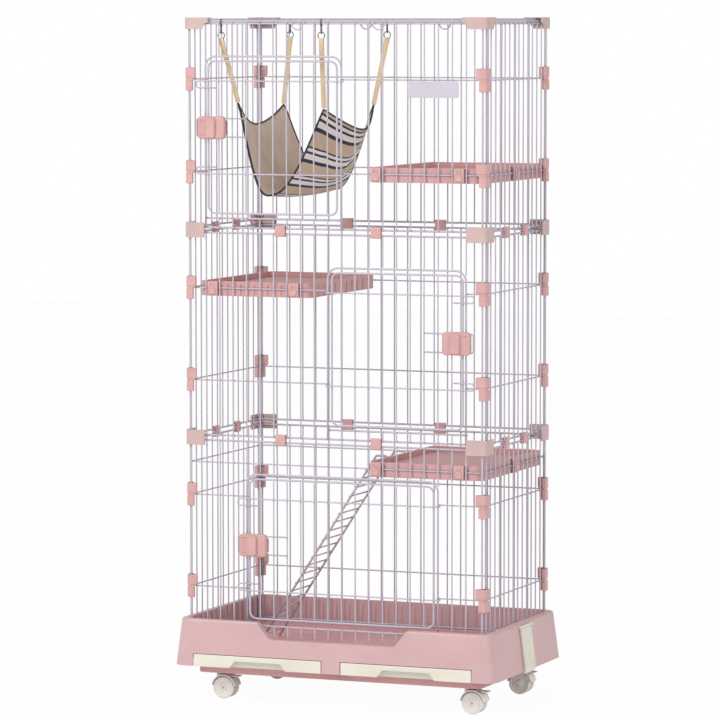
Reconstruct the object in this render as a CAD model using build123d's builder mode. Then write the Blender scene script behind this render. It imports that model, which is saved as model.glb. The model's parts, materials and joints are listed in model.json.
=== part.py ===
from build123d import *
from math import cos, hypot, radians, sin
import os

os.makedirs("parts", exist_ok=True)

# Cage body: three tiers of wire panels on a moulded base
tier_pitch = 470.0  # height of one tier of panels
lower_tier_centre = 364.5  # height of the middle of the lowest tier
rail_inset = 6.0  # from a tier's end to the centre of its rail
level_offset = 104.5  # level wires above and below the tier's middle
extra_level = 543.5  # level wire that carries the lowest shelf
front_plane = 201.0  # plane of the upright wires, front and back
side_plane = 357.0  # plane of the upright wires, left and right
front_pitch = 33.0
front_count = 20
front_half_span = 352.0  # to the end uprights
side_spaces = 13
side_pitch = 29.6
thin_wire = 3.2
thick_wire = 4.5
weld_gap = 0.05
seat_gap = 0.3

# Doorways, by the number of the upright that each leg stands on
doorways = {
    "upper": {"tier": 2, "free": 1, "hinge": 11},
    "middle": {"tier": 1, "free": 20, "hinge": 10},
    "lower": {"tier": 0, "free": 4, "hinge": 18},
}
doorway_rise = 155.0  # hoop top above the tier's middle
doorway_drop = 208.0  # sill below the tier's middle
lowest_sill = 175.8
doorway_corner = 24.0
door_rise = 144.5
door_drop = 196.5
lowest_door_bottom = 193.0
door_corner = 16.0
door_free_gap = 7.5
door_hinge_gap = 10.5
door_level_drop = 4.0  # door level wires hang this far below the cage's
curl_radius = 4.7  # mean radius of the curl round the hinge leg
stop_reach = 20.0  # stop loops pass the free leg by this much
stop_return = 28.0
stop_height = 16.0

# Sliding latch
latch_drop = 4.5
latch_width = 66.0
latch_height = 51.5
latch_depth = 17.5
latch_overlap = 14.0  # part of the latch past the free leg
guide_spacing = 41.2
guide_reach = 19.0  # its bend clears the latch at rest
latch_web = 3.4
latch_back = 2.0

# Clips, connectors and caps
clip_height = 52.0
clip_reach_front = 345.0
clip_reach_side = 182.0
clip_wall = 2.4
clip_groove = 1.2
clip_waist = 6.0
clip_corner = 6.0
connector_arm = 48.0
connector_height = 34.0
connector_wall = 3.8
cap_arm = 59.0
cap_drop = 24.0
cap_plate = 2.2
seam_clip_width = 24.0
seam_clip_height = 24.6
seam_clip_front = (-132.0, 99.0)
seam_clip_side = 59.2
loop_places = (-88.0, 107.0)
loop_radius = 13.5

# Shelves and their knob clips
shelf_length = 272.0
shelf_width = 391.4
shelf_height = 33.0
shelf_corner = 20.0
shelf_rim = 9.0
shelf_wall = 3.0
shelf_dish = 12.0
shelf_hang = 18.0  # bottom of the shelf below its level wire
groove_width = 4.0
groove_depth = 1.2
knob_width = 24.0
knob_rise = 15.0
knob_depth = 3.0
shelves = {
    "upper": {"left": 78.0, "level": 1200.0, "knobs": (99.0, 297.0)},
    "middle": {"left": -333.0, "level": 939.0, "knobs": (-297.0, -99.0)},
    "lower": {"left": 79.0, "level": extra_level, "knobs": (99.0, 297.0)},
}

# Ladder
ladder_top = (79.0 - 4.0, 567.0)  # x and z of the hook's axis
ladder_slope = 56.9
ladder_width = 115.0
ladder_middle = -83.5  # y of its middle line
ladder_rungs = 21
ladder_rung_pitch = 24.2
ladder_rail = 6.0
ladder_rung = 4.0
ladder_hook = 5.5

# Label plate
label_left = 175.7
label_width = 120.6
label_bottom = 1370.3
label_height = 35.9
label_thick = 1.4

# Hammock: hooks, rings, straps and the hung cloth
hook_x = (-276.5, -33.0)
hook_thick = 3.0
hook_wall = 2.4
hook_eye = 2.4
hook_eye_drop = 19.0  # eye below the top rail
ring_outer = 9.0
ring_inner = 7.0
ring_thick = 2.0
strap_width = 11.5
strap_thick = 1.6
cloth_thick = 5.0
cloth_steps = 9
# each station: y, then x and z of the left edge, the lowest fold and the right edge
cloth_stations = (
    (-160.0, (-252.0, 1358.0), (-172.0, 1145.0), (-43.0, 1346.0)),
    (-85.0, (-265.0, 1318.0), (-160.0, 1142.0), (-22.0, 1318.0)),
    (-5.0, (-270.0, 1310.0), (-150.0, 1142.0), (-14.0, 1304.0)),
    (75.0, (-271.0, 1322.0), (-142.0, 1146.0), (-18.0, 1306.0)),
    (142.0, (-270.0, 1350.0), (-135.0, 1150.0), (-45.0, 1349.0)),
)

# Moulded base
base_length = 780.0
base_width = 458.0
base_bottom = 80.0
base_top = 187.0
base_top_length = 754.0
base_top_width = 448.0
base_corner = 32.0
base_rim_round = 5.0
base_wall = 3.0
inner_half_length = 361.0
inner_half_width = 208.5
ledge_top = 132.6
ledge_thick = 3.0
well_half_length = 340.0
well_half_width = 190.0
grate_seat = 117.0
dip_half_top = 183.0
dip_half_bottom = 151.0
dip_bottom = 149.0
rib_pitch = 33.0
rib_width = 3.0
rib_depth = 1.0
notch_near = 22.0
notch_far = 338.0
notch_top = 109.0

# Floor grates
grate_top = 128.0
grate_thick = 3.0
grate_rim = 5.0
slot_length = 34.0
slot_width = 9.0
slots_across = 6
slots_deep = 6

# Plinth and drawers
plinth_length = 690.0
plinth_width = 380.0
plinth_bottom = 61.0
plinth_top = 79.5
plinth_wall = 4.0
plinth_corner = 20.0
drawer_near = 24.0
drawer_far = 336.0
drawer_bottom = plinth_top + seat_gap
drawer_top = 107.7
drawer_face = 3.0
drawer_tray_inset = 3.0
drawer_back = 186.0
drawer_floor = 2.4
drawer_wall = 2.4
arch_width = 140.0
arch_height = 16.0
arch_depth = 16.0

# Side clasps
clasp_width = 65.0
clasp_wall = 3.0
clasp_gap = 0.5
clasp_pin = 1.5
clasp_barrel = 3.2
clasp_axis_z = 180.0
clasp_lip = 9.0
clasp_lug = 4.0
running_gap = 0.06

# Casters
caster_x = 302.7
caster_y = 153.4
wheel_radius = 25.0
wheel_width = 13.0
wheel_trail = 14.0
caster_web = 4.0  # half the thickness of the middle web
hood_outer = 29.5
hood_inner = 26.5
stem_radius = 5.5
neck_radius = 9.0
neck_height = 11.0
collar_radius = 13.0
collar_height = 4.0
stem_rise = 14.0
axle_radius = 3.0
brake_length = 17.0
brake_width = 18.0
brake_out = 19.0  # lever's pivot from the wheels' centre
brake_up = 25.5


# Heights and planes worked out from the sizes above
tier_centres = [lower_tier_centre + tier_pitch * number for number in range(3)]
tier_names = ("lower", "middle", "upper")
rail_offset = tier_pitch / 2 - rail_inset
thin = thin_wire / 2
thick = thick_wire / 2
thin_corner = thin / cos(radians(30))  # the wires are six-sided
thick_corner = thick / cos(radians(30))
level_out = -(thin + thin + weld_gap)
rail_out = -(thin + thick + weld_gap)
end_out = thick - thin
door_frame_out = 1.0
door_upright_out = thin + weld_gap
door_level_out = end_out + curl_radius
rail_top = tier_centres[2] + rail_offset
roof_frame_z = rail_top + 2 * thick_corner + weld_gap
roof_wire_z = roof_frame_z + thick_corner + thin + weld_gap
side_half_span = side_pitch * side_spaces / 2
seams = [centre + tier_pitch / 2 for centre in tier_centres[:2]]
front_end = front_half_span + thick
side_end = side_half_span + thick

walls = {
    "front": Plane(origin=(0, -front_plane, 0), x_dir=(1, 0, 0), z_dir=(0, 0, 1)),
    "back": Plane(origin=(0, front_plane, 0), x_dir=(-1, 0, 0), z_dir=(0, 0, 1)),
    "left": Plane(origin=(-side_plane, 0, 0), x_dir=(0, -1, 0), z_dir=(0, 0, 1)),
    "right": Plane(origin=(side_plane, 0, 0), x_dir=(0, 1, 0), z_dir=(0, 0, 1)),
}


def finish(sub_part, name):
    sub_part.part.label = name
    export_step(sub_part.part, f"parts/{name}.step")


def grid_x(number):
    """place of an upright along the front"""
    return (number - (front_count + 1) / 2) * front_pitch


def upright_wires(wall, places, bottom, top, wire, out):
    """straight wires that stand along a wall, out from its plane"""
    plane = Plane(
        origin=wall.from_local_coords((0, 0, bottom)), x_dir=wall.x_dir, z_dir=wall.z_dir
    )
    with BuildSketch(plane) as profile:
        with Locations(*[(place, -out) for place in places]):
            RegularPolygon(wire / 2, 6, major_radius=False)
    extrude(profile.sketch, amount=top - bottom, clean=False)


def level_wires(wall, heights, start, end, wire, out):
    """straight wires that run level along a wall"""
    plane = Plane(
        origin=wall.from_local_coords((start, 0, 0)), x_dir=wall.y_dir, z_dir=wall.x_dir
    )
    with BuildSketch(plane) as profile:
        with Locations(*[(-out, height) for height in heights]):
            RegularPolygon(wire / 2, 6, major_radius=False, rotation=30)
    extrude(profile.sketch, amount=end - start, clean=False)


def bent_wire(path, wire):
    """six-sided wire along a bent path, square to the path's start"""
    with BuildSketch(Plane(origin=path @ 0, z_dir=path % 0)) as profile:
        RegularPolygon(wire / 2, 6, major_radius=False)
    sweep(profile.sketch, path=path)


def tier_levels(number):
    """heights of the level wires of one tier"""
    centre = tier_centres[number]
    heights = [centre - level_offset, centre + level_offset]
    if number == 0:
        heights.append(extra_level)
    return heights


def panel(name, side, number):
    """a full wire panel: rails, uprights and level wires"""
    wall = walls[side]
    centre = tier_centres[number]
    low = centre - rail_offset - thick
    high = centre + rail_offset + thick
    if side in ("front", "back"):
        half = front_half_span
        places = [grid_x(i) for i in range(1, front_count + 1)]
    else:
        half = side_half_span
        places = [j * side_pitch - half for j in range(1, side_spaces)]
    end = half + thick
    with BuildPart() as piece:
        upright_wires(wall, places, low, high, thin_wire, 0)
        upright_wires(wall, (-half, half), low, high, thick_wire, end_out)
        level_wires(wall, tier_levels(number), -end, end, thin_wire, level_out)
        rails = (centre - rail_offset, centre + rail_offset)
        level_wires(wall, rails, -end, end, thick_wire, rail_out)
    finish(piece, name)


# Doorway sizes of each tier
for name, doorway in doorways.items():
    middle = tier_centres[doorway["tier"]]
    doorway["middle"] = middle
    doorway["free_x"] = grid_x(doorway["free"])
    doorway["hinge_x"] = grid_x(doorway["hinge"])
    doorway["way"] = 1 if doorway["hinge_x"] > doorway["free_x"] else -1
    doorway["top"] = middle + doorway_rise
    doorway["sill"] = lowest_sill if name == "lower" else middle - doorway_drop
    doorway["door_top"] = middle + door_rise
    doorway["door_bottom"] = lowest_door_bottom if name == "lower" else middle - door_drop


def front_panel(name, doorway):
    """a front panel, with short uprights above and below its doorway"""
    wall = walls["front"]
    centre = doorway["middle"]
    first, last = sorted((doorway["free"], doorway["hinge"]))
    low = centre - rail_offset - thick
    high = centre + rail_offset + thick
    outside = [grid_x(i) for i in range(1, front_count + 1) if i < first or i > last]
    between = [grid_x(i) for i in range(first + 1, last)]
    legs = [grid_x(first), grid_x(last)]
    stub_start = doorway["top"] + thick + weld_gap
    shoulder = doorway["top"] - doorway_corner * 0.4
    with BuildPart() as piece:
        upright_wires(wall, outside, low, high, thin_wire, 0)
        upright_wires(wall, (-front_half_span, front_half_span), low, high, thick_wire, end_out)
        upright_wires(wall, between, stub_start + thin, high, thin_wire, 0)
        upright_wires(wall, legs, shoulder, high, thin_wire, 0)
        upright_wires(wall, between, low, doorway["sill"] + thick, thin_wire, 0)
        levels = tier_levels(doorway["tier"])
        inside_levels = [z for z in levels if z < doorway["top"]]
        over_levels = [z for z in levels if z > doorway["top"]]
        level_wires(wall, inside_levels, -front_end, legs[0] + thick, thin_wire, level_out)
        level_wires(wall, inside_levels, legs[1] - thick, front_end, thin_wire, level_out)
        if over_levels:
            level_wires(wall, over_levels, -front_end, front_end, thin_wire, level_out)
        rails = (centre - rail_offset, centre + rail_offset)
        level_wires(wall, rails, -front_end, front_end, thick_wire, rail_out)
        sill = (doorway["sill"],)
        level_wires(wall, sill, legs[0] - thick, legs[1] + thick, thick_wire, rail_out)
    finish(piece, name)


for tier, tier_name in enumerate(tier_names):
    front_panel(f"front_panel_{tier_name}", doorways[tier_name])
    for side in ("back", "left", "right"):
        panel(f"{side}_panel_{tier_name}", side, tier)

# Roof: a frame on the top rails with wires from front to back on it
with BuildPart() as roof_panel:
    for side in ("front", "back"):
        level_wires(walls[side], (roof_frame_z,), -front_end, front_end, thick_wire, rail_out)
    for side in ("left", "right"):
        level_wires(walls[side], (roof_frame_z,), -side_end, side_end, thick_wire, rail_out)
    roof_start = Plane(origin=(0, -front_plane + thin, roof_wire_z), x_dir=(1, 0, 0), z_dir=(0, 1, 0))
    with BuildSketch(roof_start) as roof_profile:
        with Locations(*[(grid_x(i), 0) for i in range(0, front_count + 2)]):
            RegularPolygon(thin, 6, major_radius=False)
    extrude(roof_profile.sketch, amount=2 * (front_plane - thin), clean=False)
finish(roof_panel, "roof_panel")

# Doorway hoops: legs from the bottom rail, joined by a rounded top
with BuildPart() as doorway_hoops:
    for doorway in doorways.values():
        left_leg, right_leg = sorted((doorway["free_x"], doorway["hinge_x"]))
        foot = doorway["middle"] - rail_offset - thick
        hoop_plane = Plane(
            origin=(0, -front_plane - end_out, 0), x_dir=(1, 0, 0), z_dir=(0, -1, 0)
        )
        with BuildLine(hoop_plane) as hoop:
            FilletPolyline(
                (left_leg, foot),
                (left_leg, doorway["top"]),
                (right_leg, doorway["top"]),
                (right_leg, foot),
                radius=doorway_corner,
            )
        bent_wire(hoop.wire(), thick_wire)
finish(doorway_hoops, "doorway_hoops")


def door(name, doorway):
    """a wire door: frame, uprights, two levels that curl round the hinge leg,
    stop loops past the free leg and the latch's guide wires"""
    wall = walls["front"]
    way = doorway["way"]
    free_edge = doorway["free_x"] + way * door_free_gap
    hinge_edge = doorway["hinge_x"] - way * door_hinge_gap
    left, right = sorted((free_edge, hinge_edge))
    bottom = doorway["door_bottom"]
    top = doorway["door_top"]
    first, last = sorted((doorway["free"], doorway["hinge"]))
    places = [grid_x(i) for i in range(first + 1, last)]
    inner = thick / cos(radians(30)) + weld_gap
    frame_plane = Plane(
        origin=(0, -front_plane - door_frame_out, 0), x_dir=(1, 0, 0), z_dir=(0, -1, 0)
    )
    with BuildPart() as piece:
        with BuildLine(frame_plane) as frame:
            FilletPolyline(
                (left, bottom),
                (right, bottom),
                (right, top),
                (left, top),
                radius=door_corner,
                close=True,
            )
        bent_wire(frame.wire(), thick_wire)
        upright_wires(wall, places, bottom + inner, top - inner, thin_wire, door_upright_out)
        front_y = -front_plane - door_level_out
        hinge_y = -front_plane - end_out
        stop_x = doorway["free_x"] - way * stop_reach
        back_x = doorway["free_x"] + way * stop_return
        for level, turn in ((level_offset, -1), (-level_offset, 1)):
            z = doorway["middle"] + level - door_level_drop
            with BuildLine() as level_line:
                FilletPolyline(
                    (back_x, front_y, z + turn * stop_height),
                    (stop_x, front_y, z + turn * stop_height),
                    (stop_x, front_y, z),
                    (doorway["hinge_x"], front_y, z),
                    radius=thin_wire * 1.5,
                )
                ThreePointArc(
                    (doorway["hinge_x"], front_y, z),
                    (doorway["hinge_x"] + way * curl_radius, hinge_y, z),
                    (doorway["hinge_x"], hinge_y + curl_radius, z),
                )
            bent_wire(level_line.wire(), thin_wire)
        latch_z = doorway["middle"] - latch_drop
        guide_end = doorway["free_x"] + way * front_pitch * 3
        guide_tip = doorway["free_x"] - way * guide_reach
        with BuildLine() as guide:
            FilletPolyline(
                (guide_end, front_y, latch_z - guide_spacing / 2),
                (guide_tip, front_y, latch_z - guide_spacing / 2),
                (guide_tip, front_y, latch_z + guide_spacing / 2),
                (guide_end, front_y, latch_z + guide_spacing / 2),
                radius=thin_wire * 1.5,
            )
        bent_wire(guide.wire(), thin_wire)
    finish(piece, name)


def latch(name, doorway):
    """a sliding latch: a front housing over the guide wires and a back plate
    whose web runs between two uprights of the door"""
    way = doorway["way"]
    z = doorway["middle"] - latch_drop
    start = doorway["free_x"] - way * latch_overlap
    front_y = -front_plane - (door_frame_out + thick_corner + seat_gap)
    face_y = front_y - latch_depth
    middle = start + way * latch_width / 2
    scoop_x = start + way * latch_width * 0.18
    pad_x = start + way * latch_width * 0.5
    with BuildPart() as piece:
        body_plane = Plane(origin=(0, front_y, 0), x_dir=(1, 0, 0), z_dir=(0, -1, 0))
        with BuildSketch(body_plane) as body:
            with Locations((middle, z)):
                RectangleRounded(latch_width, latch_height, 9)
        extrude(body.sketch, amount=latch_depth * 0.7)
        rear_edges = piece.edges().group_by(Axis.Y)[0]
        chamfer(rear_edges, 2.5)
        pad_y = front_y - latch_depth * 0.7
        pad_plane = Plane(origin=(0, pad_y, 0), x_dir=(1, 0, 0), z_dir=(0, -1, 0))
        with BuildSketch(pad_plane) as pad:
            with Locations((pad_x, z)):
                RectangleRounded(latch_width * 0.35, latch_height * 0.89, 5)
        extrude(pad.sketch, amount=latch_depth * 0.3, taper=12)
        with Locations((scoop_x, face_y - 6, z)):
            Cylinder(latch_width * 0.2, latch_height * 0.7, mode=Mode.SUBTRACT)
        slot = 2 * (thin_corner + seat_gap)
        slot_depth = door_level_out + thin_corner + seat_gap - (-front_y - front_plane)
        for side in (-1, 1):
            with Locations((middle, front_y, z + side * guide_spacing / 2)):
                Box(latch_width + 1, 2 * slot_depth, slot, mode=Mode.SUBTRACT)
        web_x = doorway["free_x"] + way * (front_pitch + thin_corner + seat_gap + latch_web / 2)
        back_y = -front_plane + seat_gap
        back_start = doorway["free_x"] + way * (door_free_gap + thick + 3)
        back_end = start + way * latch_width
        with Locations(((back_start + back_end) / 2, back_y + latch_back / 2, z)):
            Box(abs(back_end - back_start), latch_back, latch_height * 0.6)
        web_depth = back_y - front_y - weld_gap
        with Locations((web_x, back_y - web_depth / 2, z)):
            Box(latch_web, web_depth, latch_height * 0.5)
    finish(piece, name)


for door_name, doorway in doorways.items():
    door(f"door_{door_name}", doorway)
    latch(f"latch_{door_name}", doorway)


def corner_shell(outer_x, outer_y, inner_x, inner_y, arm_x, arm_y, corner):
    """an angle with a rounded corner in the front right quarter, drawn with y forward"""
    with BuildSketch(mode=Mode.PRIVATE) as quarter:
        with BuildLine():
            Polyline(
                (arm_x, outer_y),
                (outer_x, outer_y),
                (outer_x, arm_y),
                (inner_x, arm_y),
                (inner_x, inner_y),
                (arm_x, inner_y),
                close=True,
            )
        make_face()
        outer_corner = quarter.vertices().sort_by_distance((0, 0))[-1]
        fillet(outer_corner, corner)
    return quarter.sketch


def four_corners(shape, bottom, height):
    """the same section at all four corners of the cage"""
    with BuildSketch(Plane.XY.offset(bottom)) as corners:
        add(shape)
        mirror(about=Plane.XZ)
        mirror(about=Plane.YZ)
    extrude(corners.sketch, amount=height)


# Corner clips snap over the end uprights of two panels
end_front = end_out + thick
clip_inner_y = front_plane + end_front + seat_gap
clip_inner_x = side_plane + end_front + seat_gap
lip_depth = 4.5


def clip_section(wall_size):
    """section of a corner clip with a lip behind each end upright"""
    outer_y = clip_inner_y + wall_size
    outer_x = clip_inner_x + wall_size
    lip_y = clip_inner_y - lip_depth
    lip_x = clip_inner_x - lip_depth
    with BuildSketch(mode=Mode.PRIVATE) as quarter:
        with BuildLine():
            Polyline(
                (clip_reach_front, outer_y),
                (outer_x, outer_y),
                (outer_x, clip_reach_side),
                (lip_x, clip_reach_side),
                (lip_x, side_half_span - thick_corner - seat_gap),
                (clip_inner_x, side_half_span - thick_corner - seat_gap),
                (clip_inner_x, clip_inner_y),
                (front_half_span - thick_corner - seat_gap, clip_inner_y),
                (front_half_span - thick_corner - seat_gap, lip_y),
                (clip_reach_front, lip_y),
                close=True,
            )
        make_face()
        fillet(quarter.vertices().sort_by_distance((0, 0))[-1], clip_corner)
    return quarter.sketch


with BuildPart() as corner_clips:
    lobe = (clip_height - clip_waist) / 2
    for centre in tier_centres:
        for level in (-level_offset, level_offset):
            foot = centre + level - clip_height / 2
            four_corners(clip_section(clip_wall), foot, lobe)
            four_corners(clip_section(clip_wall - clip_groove), foot + lobe, clip_waist)
            four_corners(clip_section(clip_wall), foot + lobe + clip_waist, lobe)
finish(corner_clips, "corner_clips")

# Tier connectors: a rounded angle over each seam, with a rib between the two rails
rib_half = rail_inset - thick_corner - seat_gap
rib_back = rail_out - thick
with BuildPart() as tier_connectors:
    outer_x = clip_inner_x + connector_wall
    outer_y = clip_inner_y + connector_wall
    arm_x = outer_x - connector_arm
    arm_y = outer_y - connector_arm
    shell = corner_shell(outer_x, outer_y, clip_inner_x, clip_inner_y, arm_x, arm_y, 9)
    rib = corner_shell(
        clip_inner_x + 1, clip_inner_y + 1, side_plane + rib_back, front_plane + rib_back,
        arm_x + 3, arm_y + 3, 4,
    )
    for seam in seams:
        four_corners(shell, seam - connector_height / 2, connector_height)
        four_corners(rib, seam - rib_half, 2 * rib_half)
finish(tier_connectors, "tier_connectors")

# Top caps: the arms thin out along a curve towards their inner ends
cap_top = roof_wire_z + thin + seat_gap + cap_plate
with BuildPart() as corner_caps:
    shell = corner_shell(
        outer_x, outer_y, clip_inner_x, clip_inner_y, outer_x - cap_arm, outer_y - cap_arm, 9
    )
    plate = corner_shell(
        outer_x, outer_y, clip_inner_x - 20, clip_inner_y - 20,
        outer_x - cap_arm, outer_y - cap_arm, 9,
    )
    cap_foot = cap_top - cap_plate - cap_drop
    four_corners(shell, cap_foot, cap_drop + cap_plate)
    four_corners(plate, cap_top - cap_plate, cap_plate)
    for way in (-1, 1):
        with Locations((way * (outer_x - cap_arm), 0, cap_foot)):
            Cylinder(cap_drop * 0.6, 2 * outer_y + 2, rotation=(90, 0, 0), mode=Mode.SUBTRACT)
        with Locations((0, way * (outer_y - cap_arm), cap_foot)):
            Cylinder(cap_drop * 0.6, 2 * outer_x + 2, rotation=(0, 90, 0), mode=Mode.SUBTRACT)
    chamfer(corner_caps.edges().group_by(Axis.Z)[-1], 1)
finish(corner_caps, "corner_caps")

# Seam clips hold the two rails of each seam together
with BuildPart() as seam_clips:
    clip_depth = 10.1
    clip_middle = rail_out + 1.3
    channel = 2 * (thick_corner + seat_gap)
    clip_spots = [("front", x) for x in seam_clip_front]
    clip_spots += [("back", -x) for x in seam_clip_front]
    clip_spots += [(side, y) for side in ("left", "right") for y in (-seam_clip_side, seam_clip_side)]
    for side, place in clip_spots:
        wall = walls[side]
        plane = Plane(
            origin=wall.from_local_coords((place - seam_clip_width / 2, 0, 0)),
            x_dir=wall.y_dir,
            z_dir=wall.x_dir,
        )
        with BuildSketch(plane) as section:
            for seam in seams:
                with Locations((-clip_middle, seam)):
                    RectangleRounded(clip_depth, seam_clip_height, 2)
                with Locations((-rail_out, seam - rail_inset), (-rail_out, seam + rail_inset)):
                    Rectangle(channel, channel, mode=Mode.SUBTRACT)
        extrude(section.sketch, amount=seam_clip_width)
finish(seam_clips, "seam_clips")

# Roof latch loops hang in front of the top rails
with BuildPart() as roof_loops:
    for side in ("front", "back"):
        way = -1 if side == "front" else 1
        for place in loop_places:
            loop_y = way * (front_plane + 2 * thin + weld_gap)
            with BuildLine() as loop:
                Line((place - loop_radius, loop_y, roof_frame_z), (place - loop_radius, loop_y, rail_top))
                ThreePointArc(
                    (place - loop_radius, loop_y, rail_top),
                    (place, loop_y, rail_top - loop_radius),
                    (place + loop_radius, loop_y, rail_top),
                )
                Line((place + loop_radius, loop_y, rail_top), (place + loop_radius, loop_y, roof_frame_z))
            bent_wire(loop.wire(), thin_wire)
finish(roof_loops, "roof_loops")

# Label plate, bare, on the upper front
with BuildPart() as label_plate:
    label_plane = Plane(
        origin=(0, -front_plane - thin - 0.1, 0), x_dir=(1, 0, 0), z_dir=(0, -1, 0)
    )
    with BuildSketch(label_plane):
        with Locations((label_left + label_width / 2, label_bottom + label_height / 2)):
            RectangleRounded(label_width, label_height, 4)
    extrude(amount=label_thick)
finish(label_plate, "label_plate")


def shelf(name, spec):
    """a shallow tray: rim, dished floor, hollow underside and grooved outer walls"""
    centre_x = spec["left"] + shelf_length / 2
    foot = spec["level"] - shelf_hang
    with BuildPart() as piece:
        with BuildSketch(Plane.XY.offset(foot)) as outline:
            with Locations((centre_x, 0)):
                RectangleRounded(shelf_length, shelf_width, shelf_corner)
        extrude(outline.sketch, amount=shelf_height)
        with BuildSketch(Plane.XY.offset(foot + shelf_height)) as dish:
            with Locations((centre_x, 0)):
                RectangleRounded(
                    shelf_length - 2 * shelf_rim,
                    shelf_width - 2 * shelf_rim,
                    shelf_corner - shelf_rim,
                )
        extrude(dish.sketch, amount=-shelf_dish, mode=Mode.SUBTRACT)
        with BuildSketch(Plane.XY.offset(foot)) as hollow:
            with Locations((centre_x, 0)):
                RectangleRounded(
                    shelf_length - 2 * (shelf_wall + groove_depth),
                    shelf_width - 2 * (shelf_wall + groove_depth),
                    shelf_corner - shelf_wall - groove_depth,
                )
        hollow_depth = shelf_height - shelf_dish - shelf_wall
        extrude(hollow.sketch, amount=hollow_depth, mode=Mode.SUBTRACT)
        groove_height = shelf_height - 7
        across = int((shelf_length - 2 * shelf_corner) / rib_pitch)
        deep = int((shelf_width - 2 * shelf_corner) / rib_pitch)
        with BuildSketch(Plane.XY.offset(foot)) as grooves:
            for way in (-1, 1):
                with Locations((centre_x, way * shelf_width / 2)):
                    with GridLocations(rib_pitch, 1, across, 1):
                        Rectangle(groove_width, 2 * groove_depth)
                with Locations((centre_x + way * shelf_length / 2, 0)):
                    with GridLocations(1, rib_pitch, 1, deep):
                        Rectangle(2 * groove_depth, groove_width)
        extrude(grooves.sketch, amount=groove_height, mode=Mode.SUBTRACT)
    finish(piece, name)


for shelf_name, spec in shelves.items():
    shelf(f"shelf_{shelf_name}", spec)

# Shelf clips: a knob outside the wires, with tongues over and under the level wire
with BuildPart() as shelf_clips:
    knob_back = level_out + thin + seat_gap
    knob_bottom = shelf_hang - seat_gap
    shelf_inset = shelf_width / 2 - front_plane + seat_gap / 2
    spots = []
    for spec in shelves.values():
        for place in spec["knobs"]:
            spots.append(("front", place, spec["level"]))
            spots.append(("back", -place, spec["level"]))
    spots.append(("right", 0, shelves["upper"]["level"]))
    spots.append(("right", 0, shelves["lower"]["level"]))
    for side, place, level in spots:
        wall = walls[side]
        side_back = shelf_inset
        if side == "right":
            right_edge = shelves["upper"]["left"] + shelf_length
            if level == shelves["lower"]["level"]:
                right_edge = shelves["lower"]["left"] + shelf_length
            side_back = right_edge - side_plane + seat_gap / 2
        plane = Plane(
            origin=wall.from_local_coords((place - knob_width / 2, 0, 0)),
            x_dir=wall.y_dir,
            z_dir=wall.x_dir,
        )
        knob_front = thin + knob_depth
        tongue = thin_corner + seat_gap
        with BuildSketch(plane) as section:
            with BuildLine():
                Polyline(
                    (-knob_front, level - knob_bottom + 4),
                    (-knob_front, level + knob_rise - 3),
                    (-knob_front + 3, level + knob_rise),
                    (-side_back, level + knob_rise),
                    (-side_back, level + tongue),
                    (-knob_back, level + tongue),
                    (-knob_back, level - tongue),
                    (-side_back, level - tongue),
                    (-side_back, level - knob_bottom),
                    (-knob_front + 4, level - knob_bottom),
                    close=True,
                )
            make_face()
        extrude(section.sketch, amount=knob_width)
finish(shelf_clips, "shelf_clips")

# Ladder: two rails with rungs, hooked over the lowest shelf's rim
slope = radians(ladder_slope)
ladder_foot = grate_top + seat_gap + ladder_rail / 2 / cos(radians(30)) * cos(slope)
ladder_length = (ladder_top[1] - ladder_foot) / sin(slope)
along = (-cos(slope), 0, -sin(slope))
ladder_plane = Plane(
    origin=(ladder_top[0], ladder_middle, ladder_top[1]), x_dir=(0, 1, 0), z_dir=along
)
with BuildPart() as ladder:
    half = ladder_width / 2 - ladder_rail / 2
    with BuildSketch(ladder_plane) as rails:
        with Locations((-half, 0), (half, 0)):
            RegularPolygon(ladder_rail / 2, 6, major_radius=False)
    extrude(rails.sketch, amount=ladder_length)
    for number in range(ladder_rungs):
        reach = ladder_rung_pitch * (number + 0.75)
        rung_plane = Plane(
            origin=(
                ladder_top[0] + along[0] * reach,
                ladder_middle - half,
                ladder_top[1] + along[2] * reach,
            ),
            x_dir=(1, 0, 0),
            z_dir=(0, 1, 0),
        )
        with BuildSketch(rung_plane) as rung:
            RegularPolygon(ladder_rung / 2, 6, major_radius=False)
        extrude(rung.sketch, amount=2 * half)
    shelf_left = shelves["lower"]["left"]
    rim_top = shelves["lower"]["level"] - shelf_hang + shelf_height
    hook_run = shelf_rim + ladder_hook
    for way in (-1, 1):
        hook_y = ladder_middle + way * half
        with BuildLine() as hook:
            FilletPolyline(
                (ladder_top[0], hook_y, ladder_top[1]),
                (ladder_top[0] + 3, hook_y, rim_top + seat_gap + ladder_rail / 2 + 3),
                (shelf_left + hook_run, hook_y, rim_top + seat_gap + ladder_rail / 2 + 3),
                (shelf_left + hook_run, hook_y, rim_top - shelf_dish + 3),
                radius=2,
            )
finish(ladder, "ladder")


# Hammock cloth: a hung sheet, drawn down to one long fold in the middle
def fold_points(left, low, right):
    """points across the hung cloth: each side falls from its edge to the low fold"""
    points = []
    for step in range(-cloth_steps, cloth_steps + 1):
        share = abs(step) / cloth_steps
        edge = left if step < 0 else right
        bulge = 9 * sin(share * radians(180))
        x = low[0] + (edge[0] - low[0]) * share ** 0.8 + (1 if step < 0 else -1) * bulge
        z = low[1] + (edge[1] - low[1]) * share ** 1.35
        points.append((x, z))
    return points


def thicken(points, thickness):
    """closed outline of the cloth, its lower skin square below the upper one"""
    lower = []
    last = len(points) - 1
    for number, (x, z) in enumerate(points):
        before = points[max(number - 1, 0)]
        after = points[min(number + 1, last)]
        run = after[0] - before[0]
        rise = after[1] - before[1]
        length = hypot(run, rise)
        lower.append((x + rise / length * thickness, z - run / length * thickness))
    return points + lower[::-1]


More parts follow.
